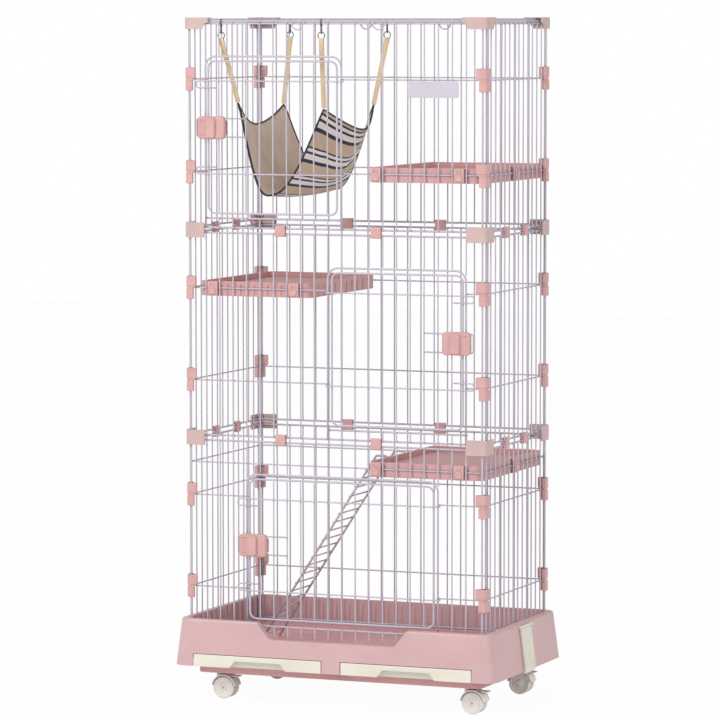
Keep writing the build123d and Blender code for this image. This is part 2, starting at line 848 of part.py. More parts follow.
with BuildPart() as hammock_cloth:
    for y, left_edge, low_fold, right_edge in cloth_stations:
        with BuildSketch(Plane(origin=(0, y, 0), x_dir=(1, 0, 0), z_dir=(0, -1, 0))):
            with BuildLine():
                outline = thicken(fold_points(left_edge, low_fold, right_edge), cloth_thick)
                Polyline(*outline, close=True)
            make_face()
    loft(ruled=True)
finish(hammock_cloth, "hammock_cloth")

# Hammock hooks, rings and straps at the four corners
hook_corners = []
for way, station in ((-1, cloth_stations[0]), (1, cloth_stations[-1])):
    for hook, edge in ((hook_x[0], station[1]), (hook_x[1], station[3])):
        hook_corners.append((hook, way * (front_plane + rail_out), (edge[0], station[0], edge[1])))

hook_bottom = rail_top - hook_eye_drop
with BuildPart() as hammock_hooks:
    for hook, rail_y, corner in hook_corners:
        hook_plane = Plane(origin=(hook - hook_thick / 2, 0, 0), x_dir=(0, 1, 0), z_dir=(1, 0, 0))
        eye_height = roof_frame_z - rail_top + 2 * (thick_corner + seat_gap)
        eye_middle = (roof_frame_z + rail_top) / 2
        with BuildSketch(hook_plane) as hook_outline:
            with Locations((rail_y, eye_middle)):
                RectangleRounded(
                    thick_wire + 2 * (0.6 + hook_wall), eye_height + 2 * hook_wall, 4.5
                )
            stem_low = hook_bottom + hook_eye + 1
            stem_high = eye_middle - eye_height / 2 - 1
            with Locations((rail_y, (stem_low + stem_high) / 2)):
                Rectangle(2 * hook_wall, stem_high - stem_low)
            with Locations((rail_y, hook_bottom)):
                RegularPolygon(hook_eye + hook_wall, 8)
                RegularPolygon(hook_eye, 8, mode=Mode.SUBTRACT)
            with Locations((rail_y, eye_middle)):
                Rectangle(thick_wire + 1.2, eye_height, mode=Mode.SUBTRACT)
        extrude(hook_outline.sketch, amount=hook_thick)
finish(hammock_hooks, "hammock_hooks")

ring_middle = hook_bottom - (ring_outer + ring_inner) / 2
with BuildPart() as hammock_rings:
    for hook, rail_y, corner in hook_corners:
        ring_plane = Plane(
            origin=(hook, rail_y + ring_thick / 2, ring_middle), x_dir=(1, 0, 0), z_dir=(0, -1, 0)
        )
        with BuildSketch(ring_plane) as ring:
            RegularPolygon(ring_outer, 12)
            RegularPolygon(ring_inner, 12, mode=Mode.SUBTRACT)
        extrude(ring.sketch, amount=ring_thick)
finish(hammock_rings, "hammock_rings")

with BuildPart() as hammock_straps:
    for hook, rail_y, corner in hook_corners:
        upper_end = Vector(hook, rail_y, ring_middle - ring_outer - seat_gap)
        lower_end = Vector(corner[0], corner[1], corner[2] + 2 * seat_gap)
        fall = lower_end - upper_end
        strap_plane = Plane(origin=upper_end, x_dir=(1, 0, 0), z_dir=fall.normalized())
        with BuildSketch(strap_plane) as strap:
            Rectangle(strap_width, strap_thick)
        extrude(strap.sketch, amount=fall.length)
finish(hammock_straps, "hammock_straps")

# Base shell: a drafted skirt, a rolled rim, a ribbed inner wall and a ledge round the well
skirt_draft_x = (base_length - base_top_length) / 2
skirt_draft_y = (base_width - base_top_width) / 2


def skirt_body(low, high, inset):
    """a drafted solid between two heights of the skirt"""
    with BuildPart(mode=Mode.PRIVATE) as body:
        with BuildSketch(Plane.XY.offset(low)):
            share = (low - base_bottom) / (base_top - base_bottom)
            RectangleRounded(
                base_length - 2 * skirt_draft_x * share - 2 * inset,
                base_width - 2 * skirt_draft_y * share - 2 * inset,
                base_corner - inset,
            )
        with BuildSketch(Plane.XY.offset(high)):
            share = (high - base_bottom) / (base_top - base_bottom)
            RectangleRounded(
                base_length - 2 * skirt_draft_x * share - 2 * inset,
                base_width - 2 * skirt_draft_y * share - 2 * inset,
                base_corner - inset,
            )
        loft()
    return body.part


inner_corner = 20.0
hollow_low_top = dip_bottom - base_wall
hollow_high_top = base_top - base_wall - 2
with BuildPart() as base_shell:
    add(skirt_body(base_bottom, base_top, 0))
    fillet(base_shell.edges().group_by(Axis.Z)[-1], base_rim_round)
    with BuildSketch(Plane.XY.offset(base_top)) as inside:
        RectangleRounded(2 * inner_half_length, 2 * inner_half_width, inner_corner)
    extrude(inside.sketch, amount=-(base_top - ledge_top), mode=Mode.SUBTRACT)
    dip_plane = Plane(origin=(0, -base_width / 2 - 1, 0), x_dir=(1, 0, 0), z_dir=(0, 1, 0))
    with BuildSketch(dip_plane) as dip:
        with BuildLine():
            Polyline(
                (-dip_half_top, -base_top - 1),
                (-dip_half_bottom, -dip_bottom),
                (dip_half_bottom, -dip_bottom),
                (dip_half_top, -base_top - 1),
                close=True,
            )
        make_face()
        fillet(dip.vertices().group_by(Axis.Y)[-1], 14)
    extrude(dip.sketch, amount=base_width / 2 - inner_half_width + 5, mode=Mode.SUBTRACT)
    # hollow below the ledge, and the channel inside the rim
    wall_block = skirt_body(base_bottom, ledge_top - ledge_thick, base_wall)
    channel_outer = skirt_body(base_bottom, hollow_high_top, base_wall)
    with BuildPart(mode=Mode.PRIVATE) as channel:
        add(channel_outer)
        with BuildSketch(Plane.XY.offset(ledge_top - ledge_thick)):
            RectangleRounded(
                2 * (inner_half_length + base_wall),
                2 * (inner_half_width + base_wall),
                inner_corner + base_wall,
            )
        extrude(amount=base_top, mode=Mode.SUBTRACT)
        with Locations((0, -base_width / 2, hollow_low_top + base_top / 2)):
            Box(2 * dip_half_top + 2 * base_wall + 2, base_width / 2, base_top, mode=Mode.SUBTRACT)
    add(channel.part, mode=Mode.SUBTRACT)
    # the well for the floor grates, its seat and the runners between the drawers
    with BuildSketch(Plane.XY.offset(base_top)) as well:
        Rectangle(2 * well_half_length, 2 * well_half_width)
    extrude(well.sketch, amount=-base_top, mode=Mode.SUBTRACT)
    with BuildSketch(Plane.XY.offset(grate_seat - base_wall)) as seat:
        Rectangle(2 * (well_half_length + base_wall), 2 * (well_half_width + base_wall))
        Rectangle(2 * (well_half_length - 6), 2 * (well_half_width - 6), mode=Mode.SUBTRACT)
    extrude(seat.sketch, amount=base_wall)
    with BuildSketch(Plane.XY.offset(grate_seat)) as seat_wall:
        Rectangle(2 * (well_half_length + base_wall), 2 * (well_half_width + base_wall))
        Rectangle(2 * well_half_length, 2 * well_half_width, mode=Mode.SUBTRACT)
    extrude(seat_wall.sketch, amount=ledge_top - grate_seat)
    runner_depth = 2 * (well_half_width - 4)
    with BuildSketch(Plane.XY.offset(plinth_top + seat_gap)) as runners:
        Rectangle(16, runner_depth)
        with Locations((-well_half_length + 1, 0), (well_half_length - 1, 0)):
            Rectangle(base_wall, runner_depth)
    extrude(runners.sketch, amount=grate_seat - plinth_top - seat_gap - 1)
    # drawer mouths in the front
    for way in (-1, 1):
        mouth_x = way * (notch_near + notch_far) / 2
        with Locations((mouth_x, -base_width / 2, (base_bottom + notch_top) / 2 - 5)):
            Box(notch_far - notch_near, 12, notch_top - base_bottom + 10, mode=Mode.SUBTRACT)
    # grooves up the inner wall
    ribs_long = 2 * int((inner_half_length - inner_corner) / rib_pitch) + 1
    ribs_short = 2 * int((inner_half_width - inner_corner) / rib_pitch) + 1
    with BuildSketch(Plane.XY.offset(ledge_top)) as ribs:
        with Locations((0, inner_half_width), (0, -inner_half_width)):
            with GridLocations(rib_pitch, 1, ribs_long, 1):
                Rectangle(rib_width, 2 * rib_depth)
        with Locations((inner_half_length, 0), (-inner_half_length, 0)):
            with GridLocations(1, rib_pitch, 1, ribs_short):
                Rectangle(2 * rib_depth, rib_width)
    extrude(ribs.sketch, amount=base_top - ledge_top - 12, mode=Mode.SUBTRACT)
finish(base_shell, "base_shell")

# Plinth: a shallow tray turned over, with a collared boss for each caster stem
stem_top = plinth_bottom + stem_rise
with BuildPart() as plinth:
    with BuildSketch(Plane.XY.offset(plinth_bottom)) as plinth_outline:
        RectangleRounded(plinth_length, plinth_width, plinth_corner)
    extrude(plinth_outline.sketch, amount=plinth_top - plinth_bottom)
    with BuildSketch(Plane.XY.offset(plinth_bottom)) as plinth_hollow:
        RectangleRounded(
            plinth_length - 2 * plinth_wall,
            plinth_width - 2 * plinth_wall,
            plinth_corner - plinth_wall,
        )
    plinth_plate = 3.5
    hollow_rise = plinth_top - plinth_bottom - plinth_plate
    extrude(plinth_hollow.sketch, amount=hollow_rise, mode=Mode.SUBTRACT)
    with BuildSketch(Plane.XY.offset(plinth_bottom - collar_height)) as bosses:
        with GridLocations(2 * caster_x, 2 * caster_y, 2, 2):
            Circle(collar_radius)
    extrude(bosses.sketch, amount=hollow_rise + collar_height)
    with BuildSketch(Plane.XY.offset(plinth_bottom - collar_height)) as sockets:
        with GridLocations(2 * caster_x, 2 * caster_y, 2, 2):
            Circle(stem_radius + running_gap)
    socket_depth = stem_top - plinth_bottom + collar_height + seat_gap
    extrude(sockets.sketch, amount=socket_depth, mode=Mode.SUBTRACT)
finish(plinth, "plinth")


def floor_grate(name, way):
    """one half of the floor: a slotted plate with a turned-down rim"""
    length = well_half_length - 2 * seat_gap
    width = 2 * (well_half_width - seat_gap)
    middle = way * (length / 2 + seat_gap)
    with BuildPart() as piece:
        with BuildSketch(Plane.XY.offset(grate_seat + seat_gap)) as outline:
            with Locations((middle, 0)):
                Rectangle(length, width)
        extrude(outline.sketch, amount=grate_top - grate_seat - seat_gap)
        with BuildSketch(Plane.XY.offset(grate_seat)) as under:
            with Locations((middle, 0)):
                Rectangle(length - 2 * grate_rim, width - 2 * grate_rim)
        under_height = grate_top - grate_thick - grate_seat
        extrude(under.sketch, amount=under_height, mode=Mode.SUBTRACT)
        with BuildSketch(Plane.XY.offset(grate_top)) as slots:
            with Locations((middle, 0)):
                with GridLocations(length / slots_across, width / slots_deep, slots_across, slots_deep):
                    Rectangle(slot_length, slot_width)
        extrude(slots.sketch, amount=-2 * grate_thick, mode=Mode.SUBTRACT)
    finish(piece, name)


floor_grate("floor_grate_left", -1)
floor_grate("floor_grate_right", 1)


def drawer(name, way):
    """a waste drawer: tray, flush face and a finger arch under a closed pocket"""
    middle = way * (drawer_near + drawer_far) / 2
    face_length = drawer_far - drawer_near
    tray_length = face_length - 2 * drawer_tray_inset
    face_y = -base_width / 2 + 0.5
    height = drawer_top - drawer_bottom
    pocket_back = face_y + arch_depth
    with BuildPart() as piece:
        with BuildSketch(Plane.XY.offset(drawer_bottom)) as face:
            with Locations((middle, face_y + drawer_face / 2)):
                Rectangle(face_length, drawer_face)
        extrude(face.sketch, amount=height)
        with BuildSketch(Plane.XY.offset(drawer_bottom)) as tray:
            with Locations((middle, (face_y + drawer_face + drawer_back) / 2)):
                Rectangle(tray_length, drawer_back - face_y - drawer_face)
        extrude(tray.sketch, amount=height - 2)
        with BuildSketch(Plane.XY.offset(drawer_bottom + drawer_floor)) as inside:
            pocket_start = pocket_back + drawer_wall
            with Locations((middle, (pocket_start + drawer_back - drawer_wall) / 2)):
                Rectangle(tray_length - 2 * drawer_wall, drawer_back - drawer_wall - pocket_start)
        extrude(inside.sketch, amount=height, mode=Mode.SUBTRACT)
        arch_plane = Plane(origin=(middle, face_y - 1, 0), x_dir=(1, 0, 0), z_dir=(0, 1, 0))
        with BuildSketch(arch_plane) as arch:
            with BuildLine():
                Polyline(
                    (-arch_width / 2, -drawer_bottom + 1),
                    (-arch_width / 2 + 14, -drawer_bottom - arch_height),
                    (arch_width / 2 - 14, -drawer_bottom - arch_height),
                    (arch_width / 2, -drawer_bottom + 1),
                    close=True,
                )
            make_face()
            fillet(arch.vertices().group_by(Axis.Y)[0], 10)
        extrude(arch.sketch, amount=arch_depth + 1, mode=Mode.SUBTRACT)
    finish(piece, name)


drawer("drawer_left", -1)
drawer("drawer_right", 1)


def skirt_x(height):
    """how far out the side of the skirt stands at a height"""
    return base_length / 2 - skirt_draft_x * (height - base_bottom) / (base_top - base_bottom)


# Side clasps: a barrel on a pin at the rim, a plate down the wall and a lip under the skirt
clasp_axis_x = skirt_x(clasp_axis_z) + clasp_barrel + clasp_gap


def side_clasp(name, way):
    """the clasp of one side, its pin running in two lugs of the base"""
    with BuildPart() as piece:
        plane = Plane(origin=(0, clasp_width / 2, 0), x_dir=(1, 0, 0), z_dir=(0, -1, 0))
        lip_top = base_bottom - 0.8
        lip_bottom = lip_top - clasp_wall
        low_x = skirt_x(base_bottom) + clasp_gap
        high_x = clasp_axis_x - clasp_barrel + clasp_gap
        with BuildSketch(plane) as section:
            with BuildLine():
                Polyline(
                    (way * (high_x), clasp_axis_z - 3),
                    (way * (low_x), base_bottom),
                    (way * (low_x), lip_top),
                    (way * (low_x - clasp_lip), lip_top),
                    (way * (low_x - clasp_lip), lip_bottom),
                    (way * (low_x + clasp_wall), lip_bottom),
                    (way * (low_x + clasp_wall), base_bottom + 9),
                    (way * (low_x + clasp_wall + 1.4), base_bottom + 11),
                    (way * (low_x + clasp_wall - 0.4), base_bottom + 14),
                    (way * (low_x + clasp_wall + 1.0), base_bottom + 17),
                    (way * (low_x + clasp_wall - 0.8), base_bottom + 20),
                    (way * (low_x + clasp_wall + 0.6), base_bottom + 23),
                    (way * (low_x + clasp_wall - 1.2), base_bottom + 26),
                    (way * (clasp_axis_x + clasp_barrel - 1), clasp_axis_z - 3),
                    close=True,
                )
            make_face()
        extrude(section.sketch, amount=clasp_width)
        barrel_plane = Plane(
            origin=(way * clasp_axis_x, clasp_width / 2, clasp_axis_z), x_dir=(1, 0, 0), z_dir=(0, -1, 0)
        )
        with BuildSketch(barrel_plane) as barrel:
            Circle(clasp_barrel)
        extrude(barrel.sketch, amount=clasp_width)
        pin_plane = Plane(
            origin=(way * clasp_axis_x, clasp_width / 2 + clasp_lug, clasp_axis_z),
            x_dir=(1, 0, 0),
            z_dir=(0, -1, 0),
        )
        with BuildSketch(pin_plane) as pin:
            Circle(clasp_pin)
        extrude(pin.sketch, amount=clasp_width + 2 * clasp_lug)
    finish(piece, name)


side_clasp("side_clasp_left", -1)
side_clasp("side_clasp_right", 1)

# Clasp lugs stand on the base beside each barrel
with BuildPart() as clasp_lugs:
    for way in (-1, 1):
        for side in (-1, 1):
            lug_y = side * (clasp_width / 2 + seat_gap + clasp_lug / 2)
            lug_low = skirt_x(clasp_axis_z - 4) + 0.1
            with Locations((way * (lug_low + 7.6 / 2), lug_y, clasp_axis_z)):
                Box(7.6, clasp_lug, 8)
            lug_hole = Plane(
                origin=(way * clasp_axis_x, lug_y + clasp_lug, clasp_axis_z),
                x_dir=(1, 0, 0),
                z_dir=(0, -1, 0),
            )
            with BuildSketch(lug_hole) as hole:
                Circle(clasp_pin + running_gap)
            extrude(hole.sketch, amount=2 * clasp_lug, mode=Mode.SUBTRACT)
finish(clasp_lugs, "clasp_lugs")


def caster(name, at_x, at_y):
    """a twin-wheel swivel caster: hood with stem, axle, wheels and brake lever"""
    wheel_x = at_x + wheel_trail
    middle = Plane(origin=(wheel_x, at_y, wheel_radius), x_dir=(1, 0, 0), z_dir=(0, -1, 0))
    half_width = caster_web + 1 + wheel_width
    with BuildPart() as hood:
        with BuildSketch(middle) as shell:
            Circle(hood_outer)
            with Locations((0, -hood_outer + 4)):
                Rectangle(4 * hood_outer, 2 * hood_outer, mode=Mode.SUBTRACT)
        extrude(shell.sketch, amount=half_width, both=True)
        neck_top = plinth_bottom - collar_height - seat_gap
        with Locations((at_x, at_y, neck_top - neck_height / 2)):
            Cylinder(neck_radius, neck_height)
        with BuildSketch(middle) as web:
            Circle(wheel_radius - 4)
        extrude(web.sketch, amount=caster_web, both=True)
        for side in (-1, 1):
            wheel_space = Plane(
                origin=(wheel_x, at_y + side * caster_web, wheel_radius),
                x_dir=(1, 0, 0),
                z_dir=(0, side, 0),
            )
            with BuildSketch(wheel_space) as space:
                Circle(hood_inner)
            extrude(space.sketch, amount=2 * wheel_width, mode=Mode.SUBTRACT)
        with Locations((at_x, at_y, (neck_top + stem_top) / 2)):
            Cylinder(stem_radius, stem_top - neck_top)
        with BuildSketch(middle) as axle_hole:
            Circle(axle_radius + running_gap)
        extrude(axle_hole.sketch, amount=half_width, both=True, mode=Mode.SUBTRACT)
    finish(hood, f"{name}_hood")
    with BuildPart() as axle:
        with BuildSketch(middle) as axle_circle:
            Circle(axle_radius)
        extrude(axle_circle.sketch, amount=half_width, both=True)
    finish(axle, f"{name}_axle")
    with BuildPart() as wheels:
        for side in (-1, 1):
            wheel_plane = Plane(
                origin=(wheel_x, at_y + side * (caster_web + 1), wheel_radius),
                x_dir=(1, 0, 0),
                z_dir=(0, side, 0),
            )
            with BuildSketch(wheel_plane) as wheel:
                Circle(wheel_radius)
                Circle(axle_radius + running_gap, mode=Mode.SUBTRACT)
            extrude(wheel.sketch, amount=wheel_width)
    finish(wheels, f"{name}_wheels")
    pivot_x = wheel_x + brake_out
    pivot_z = wheel_radius + brake_up
    with BuildPart() as brake:
        with BuildSketch(Plane(origin=(0, at_y + brake_width / 2, 0), x_dir=(1, 0, 0), z_dir=(0, -1, 0))) as lever:
            with BuildLine():
                Polyline(
                    (pivot_x - 1.5, pivot_z - 1.2),
                    (pivot_x + brake_length - 2, pivot_z - 1.2),
                    (pivot_x + brake_length, pivot_z),
                    (pivot_x + brake_length, pivot_z + 2),
                    (pivot_x - 1.5, pivot_z + 2),
                    close=True,
                )
            make_face()
        extrude(lever.sketch, amount=brake_width)
    finish(brake, f"{name}_brake")


for end, end_sign in (("left", -1), ("right", 1)):
    for row, row_sign in (("front", -1), ("back", 1)):
        caster(f"caster_{row}_{end}", end_sign * caster_x, row_sign * caster_y)
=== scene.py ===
import json
import math

import bmesh
import bpy
import numpy as np
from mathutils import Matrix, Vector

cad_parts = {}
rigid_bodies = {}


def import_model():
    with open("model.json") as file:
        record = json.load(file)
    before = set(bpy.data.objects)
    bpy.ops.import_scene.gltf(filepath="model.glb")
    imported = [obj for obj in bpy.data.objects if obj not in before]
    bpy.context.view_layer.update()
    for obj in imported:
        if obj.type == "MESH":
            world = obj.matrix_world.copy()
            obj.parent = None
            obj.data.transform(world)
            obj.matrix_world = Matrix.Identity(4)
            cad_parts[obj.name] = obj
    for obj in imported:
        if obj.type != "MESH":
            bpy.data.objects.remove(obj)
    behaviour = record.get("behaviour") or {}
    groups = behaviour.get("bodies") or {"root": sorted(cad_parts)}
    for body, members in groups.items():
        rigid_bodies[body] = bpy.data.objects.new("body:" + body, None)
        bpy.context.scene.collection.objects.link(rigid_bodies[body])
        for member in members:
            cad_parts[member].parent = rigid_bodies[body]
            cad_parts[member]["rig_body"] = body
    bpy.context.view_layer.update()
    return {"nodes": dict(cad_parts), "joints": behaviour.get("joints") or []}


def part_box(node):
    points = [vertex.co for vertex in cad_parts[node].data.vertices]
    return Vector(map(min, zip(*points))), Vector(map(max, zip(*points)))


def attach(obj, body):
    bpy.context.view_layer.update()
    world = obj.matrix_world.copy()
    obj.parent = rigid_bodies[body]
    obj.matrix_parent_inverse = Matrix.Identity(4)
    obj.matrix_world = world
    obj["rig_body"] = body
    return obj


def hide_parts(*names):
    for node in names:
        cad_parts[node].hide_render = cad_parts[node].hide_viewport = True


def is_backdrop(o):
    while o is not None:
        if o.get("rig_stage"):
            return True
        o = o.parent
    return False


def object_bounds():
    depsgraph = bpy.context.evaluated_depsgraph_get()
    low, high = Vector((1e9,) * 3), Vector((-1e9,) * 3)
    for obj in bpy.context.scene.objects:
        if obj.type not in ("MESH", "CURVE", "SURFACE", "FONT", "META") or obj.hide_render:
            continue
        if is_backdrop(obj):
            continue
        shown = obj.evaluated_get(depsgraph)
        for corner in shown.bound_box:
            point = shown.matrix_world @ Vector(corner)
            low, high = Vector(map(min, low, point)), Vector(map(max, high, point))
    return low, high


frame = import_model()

mm = 0.001
nodes = frame["nodes"]
jointPlaces = {j["name"]: np.array(j["pos_m"]) for j in frame["joints"]}
tierNames = ("lower", "middle", "upper")


# Camera: the photograph's place and angle
camera = {"place": (3.618, -8.929, 1.548), "yaw": 22.17, "pitch": 4.62, "roll": 0.04,
          "focalPixels": 4246, "imagePixels": 720, "sensor": 36}


def makeCamera(s):
    data = bpy.data.cameras.new("photoCamera")
    data.sensor_width = s["sensor"]
    data.lens = s["focalPixels"] * s["sensor"] / s["imagePixels"]
    data.clip_start = 0.5
    data.clip_end = 60
    made = bpy.data.objects.new("photoCamera", data)
    made.location = s["place"]
    made.rotation_euler = (math.radians(90 - s["pitch"]), math.radians(s["roll"]), math.radians(s["yaw"]))
    bpy.context.scene.collection.objects.link(made)
    bpy.context.scene.camera = made


makeCamera(camera)
print("camera ready")


# Colours are sRGB hex values, turned to linear here
def toLinear(hexValue):
    parts = np.array([int(hexValue[i:i + 2], 16) for i in (1, 3, 5)]) / 255
    linear = np.where(parts <= 0.04045, parts / 12.92, ((parts + 0.055) / 1.055) ** 2.4)
    return (*[float(c) for c in linear], 1.0)


# adds one shader node with its settings, socket values and incoming links
def addNode(tree, kind, settings=None, values=None, links=None):
    node = tree.nodes.new(kind)
    for name, value in (settings or {}).items():
        setattr(node, name, value)
    for name, value in (values or {}).items():
        node.inputs[name].default_value = value
    for name, source in (links or {}).items():
        tree.links.new(source, node.inputs[name])
    return node


def newMaterial(name):
    made = bpy.data.materials.new(name)
    made.use_nodes = True
    made.node_tree.nodes.clear()
    return made, made.node_tree


def closeMaterial(tree, shader):
    addNode(tree, "ShaderNodeOutputMaterial", links={"Surface": shader.outputs[0]})


# painted shade: ambient occlusion within 'reach' darkens the colour in grooves and crevices, down to
# 'deepest'
paintedGrooveShade = {"reach": 5 * mm, "from": 0.2, "to": 0.85, "deepest": 0.62}
cloudBand = (0.3, 0.7)  # where the cloudiness turns from the darker shade to the colour


# injection-moulded plastic: an even colour with a faint cloudiness, a fine spark-eroded grain that
# breaks up the gloss, slightly scuffed, duller patches, and painted shade darkening its grooves and
# crevices
def moulded(s):
    made, tree = newMaterial(s["name"])
    where = addNode(tree, "ShaderNodeTexCoord")
    cloud = addNode(tree, "ShaderNodeTexNoise", values={"Scale": 1 / s["cloudSize"], "Detail": 2},
                    links={"Vector": where.outputs["Object"]})
    shade = addNode(tree, "ShaderNodeValToRGB", links={"Fac": cloud.outputs["Fac"]})
    shade.color_ramp.elements[0].position = cloudBand[0]
    shade.color_ramp.elements[0].color = toLinear(s["dark"])
    shade.color_ramp.elements[1].position = cloudBand[1]
    shade.color_ramp.elements[1].color = toLinear(s["colour"])
    crevice = addNode(tree, "ShaderNodeAmbientOcclusion", {"samples": 4},
                      {"Distance": paintedGrooveShade["reach"]})
    kept = addNode(tree, "ShaderNodeMapRange", values={"From Min": paintedGrooveShade["from"],
                   "From Max": paintedGrooveShade["to"], "To Min": paintedGrooveShade["deepest"]},
                   links={"Value": crevice.outputs["AO"]})  # painted shade: ambient occlusion darkens the colour in grooves and crevices
    grooveShaded = addNode(tree, "ShaderNodeMix", {"data_type": "RGBA", "blend_type": "MULTIPLY"},
                    links={"A": shade.outputs["Color"], "B": kept.outputs["Result"]})
    grooveShaded.inputs["Factor"].default_value = 1.0
    grain = addNode(tree, "ShaderNodeTexNoise", values={"Scale": 1 / s["grain"], "Detail": 3},
                    links={"Vector": where.outputs["Object"]})
    bump = addNode(tree, "ShaderNodeBump", values={"Strength": s["bump"], "Distance": 0.0004},
                   links={"Height": grain.outputs["Fac"]})
    scuff = addNode(tree, "ShaderNodeMapRange", values={"From Min": 0.35, "From Max": 0.75,
                    "To Min": s["roughness"], "To Max": s["roughness"] + 0.12},
                    links={"Value": cloud.outputs["Fac"]})
    body = addNode(tree, "ShaderNodeBsdfPrincipled", values={"IOR": s.get("ior", 1.49)},
                   links={"Base Color": grooveShaded.outputs["Result"], "Normal": bump.outputs["Normal"],
                          "Roughness": scuff.outputs["Result"]})
    closeMaterial(tree, body)
    return made


# steel wire under baked powder: a soft gloss with an orange-peel skin
def powderCoatedSteel(s):
    made, tree = newMaterial(s["name"])
    where = addNode(tree, "ShaderNodeTexCoord")
    peel = addNode(tree, "ShaderNodeTexNoise", values={"Scale": 1 / s["peel"], "Detail": 1},
                   links={"Vector": where.outputs["Object"]})
    shade = addNode(tree, "ShaderNodeMix", {"data_type": "RGBA"}, links={"Factor": peel.outputs["Fac"]})
    shade.inputs["A"].default_value = toLinear(s["dark"])
    shade.inputs["B"].default_value = toLinear(s["colour"])
    bump = addNode(tree, "ShaderNodeBump", values={"Strength": 0.25, "Distance": 0.0003},
                   links={"Height": peel.outputs["Fac"]})
    body = addNode(tree, "ShaderNodeBsdfPrincipled", values={"Roughness": s["roughness"], "IOR": 1.5},
                   links={"Base Color": shade.outputs["Result"], "Normal": bump.outputs["Normal"]})
    closeMaterial(tree, body)
    return made


# die-cast zinc under dark nickel plating: smoky metal with fine tumbling marks
def platedZinc(s):
    made, tree = newMaterial(s["name"])
    where = addNode(tree, "ShaderNodeTexCoord")
    marks = addNode(tree, "ShaderNodeTexNoise", values={"Scale": 1 / s["marks"], "Detail": 4},
                    links={"Vector": where.outputs["Object"]})
    rough = addNode(tree, "ShaderNodeMapRange", values={"To Min": s["roughness"] - 0.08,
                    "To Max": s["roughness"] + 0.12}, links={"Value": marks.outputs["Fac"]})
    bump = addNode(tree, "ShaderNodeBump", values={"Strength": 0.15, "Distance": 0.0002},
                   links={"Height": marks.outputs["Fac"]})
    body = addNode(tree, "ShaderNodeBsdfPrincipled", values={"Base Color": toLinear(s["colour"]),
                   "Metallic": 1.0},
                   links={"Roughness": rough.outputs["Result"], "Normal": bump.outputs["Normal"]})
    closeMaterial(tree, body)
    return made


# cotton webbing: ribs across the tape, with the yarn's colour a little uneven
def wovenWebbing(s):
    made, tree = newMaterial(s["name"])
    where = addNode(tree, "ShaderNodeUVMap", {"uv_map": "cloth"})
    parts = addNode(tree, "ShaderNodeSeparateXYZ", links={"Vector": where.outputs["UV"]})
    rib = addNode(tree, "ShaderNodeMath", {"operation": "MULTIPLY"},
                  links={0: parts.outputs["Y"]})
    rib.inputs[1].default_value = 2 * math.pi / s["rib"]
    wave = addNode(tree, "ShaderNodeMath", {"operation": "SINE"}, links={0: rib.outputs[0]})
    mottle = addNode(tree, "ShaderNodeTexNoise", values={"Scale": 1 / s["yarn"], "Detail": 3},
                     links={"Vector": where.outputs["UV"]})
    shade = addNode(tree, "ShaderNodeMix", {"data_type": "RGBA"}, links={"Factor": mottle.outputs["Fac"]})
    shade.inputs["A"].default_value = toLinear(s["dark"])
    shade.inputs["B"].default_value = toLinear(s["colour"])
    bump = addNode(tree, "ShaderNodeBump", values={"Strength": 0.6, "Distance": 0.0004},
                   links={"Height": wave.outputs[0]})
    body = addNode(tree, "ShaderNodeBsdfPrincipled", values={"Roughness": 0.85, "Sheen Weight": 0.15},
                   links={"Base Color": shade.outputs["Result"], "Normal": bump.outputs["Normal"]})
    closeMaterial(tree, body)
    return made


# printed polyester canvas: straight bars of even colour over a fine plain weave
def plainWeave(s):
    made, tree = newMaterial(s["name"])
    where = addNode(tree, "ShaderNodeUVMap", {"uv_map": "cloth"})
    parts = addNode(tree, "ShaderNodeSeparateXYZ", links={"Vector": where.outputs["UV"]})
    repeat = addNode(tree, "ShaderNodeMath", {"operation": "DIVIDE"}, links={0: parts.outputs["X"]})
    repeat.inputs[1].default_value = s["repeat"]
    place = addNode(tree, "ShaderNodeMath", {"operation": "FRACT"}, links={0: repeat.outputs[0]})
    bars = addNode(tree, "ShaderNodeValToRGB", links={"Fac": place.outputs[0]})
    bars.color_ramp.interpolation = "CONSTANT"
    ends = bars.color_ramp.elements
    ends[0].position = 0.0
    ends[0].color = toLinear(s["bars"][0][1])
    ends[1].position = s["bars"][1][0]
    ends[1].color = toLinear(s["bars"][1][1])
    for start, colour in s["bars"][2:]:
        ends.new(start).color = toLinear(colour)
    threads = []
    for axis in ("X", "Y"):
        turns = addNode(tree, "ShaderNodeMath", {"operation": "MULTIPLY"},
                        links={0: parts.outputs[axis]})
        turns.inputs[1].default_value = 2 * math.pi / s["thread"]
        threads.append(addNode(tree, "ShaderNodeMath", {"operation": "SINE"}, links={0: turns.outputs[0]}))
    weave = addNode(tree, "ShaderNodeMath", {"operation": "MULTIPLY"},
                    links={0: threads[0].outputs[0], 1: threads[1].outputs[0]})
    slub = addNode(tree, "ShaderNodeTexNoise", values={"Scale": 1 / s["slub"], "Detail": 4},
                   links={"Vector": where.outputs["UV"]})
    worn = addNode(tree, "ShaderNodeMapRange", values={"To Min": 0.86, "To Max": 1.06},
                   links={"Value": slub.outputs["Fac"]})
    shade = addNode(tree, "ShaderNodeMix", {"data_type": "RGBA", "blend_type": "MULTIPLY"},
                    links={"A": bars.outputs["Color"], "B": worn.outputs["Result"]})
    shade.inputs["Factor"].default_value = 1.0
    bump = addNode(tree, "ShaderNodeBump", values={"Strength": 0.35, "Distance": 0.0003},
                   links={"Height": weave.outputs[0]})
    body = addNode(tree, "ShaderNodeBsdfPrincipled", values={"Roughness": 0.8, "Sheen Weight": 0.1},
                   links={"Base Color": shade.outputs["Result"], "Normal": bump.outputs["Normal"]})
    closeMaterial(tree, body)
    return made


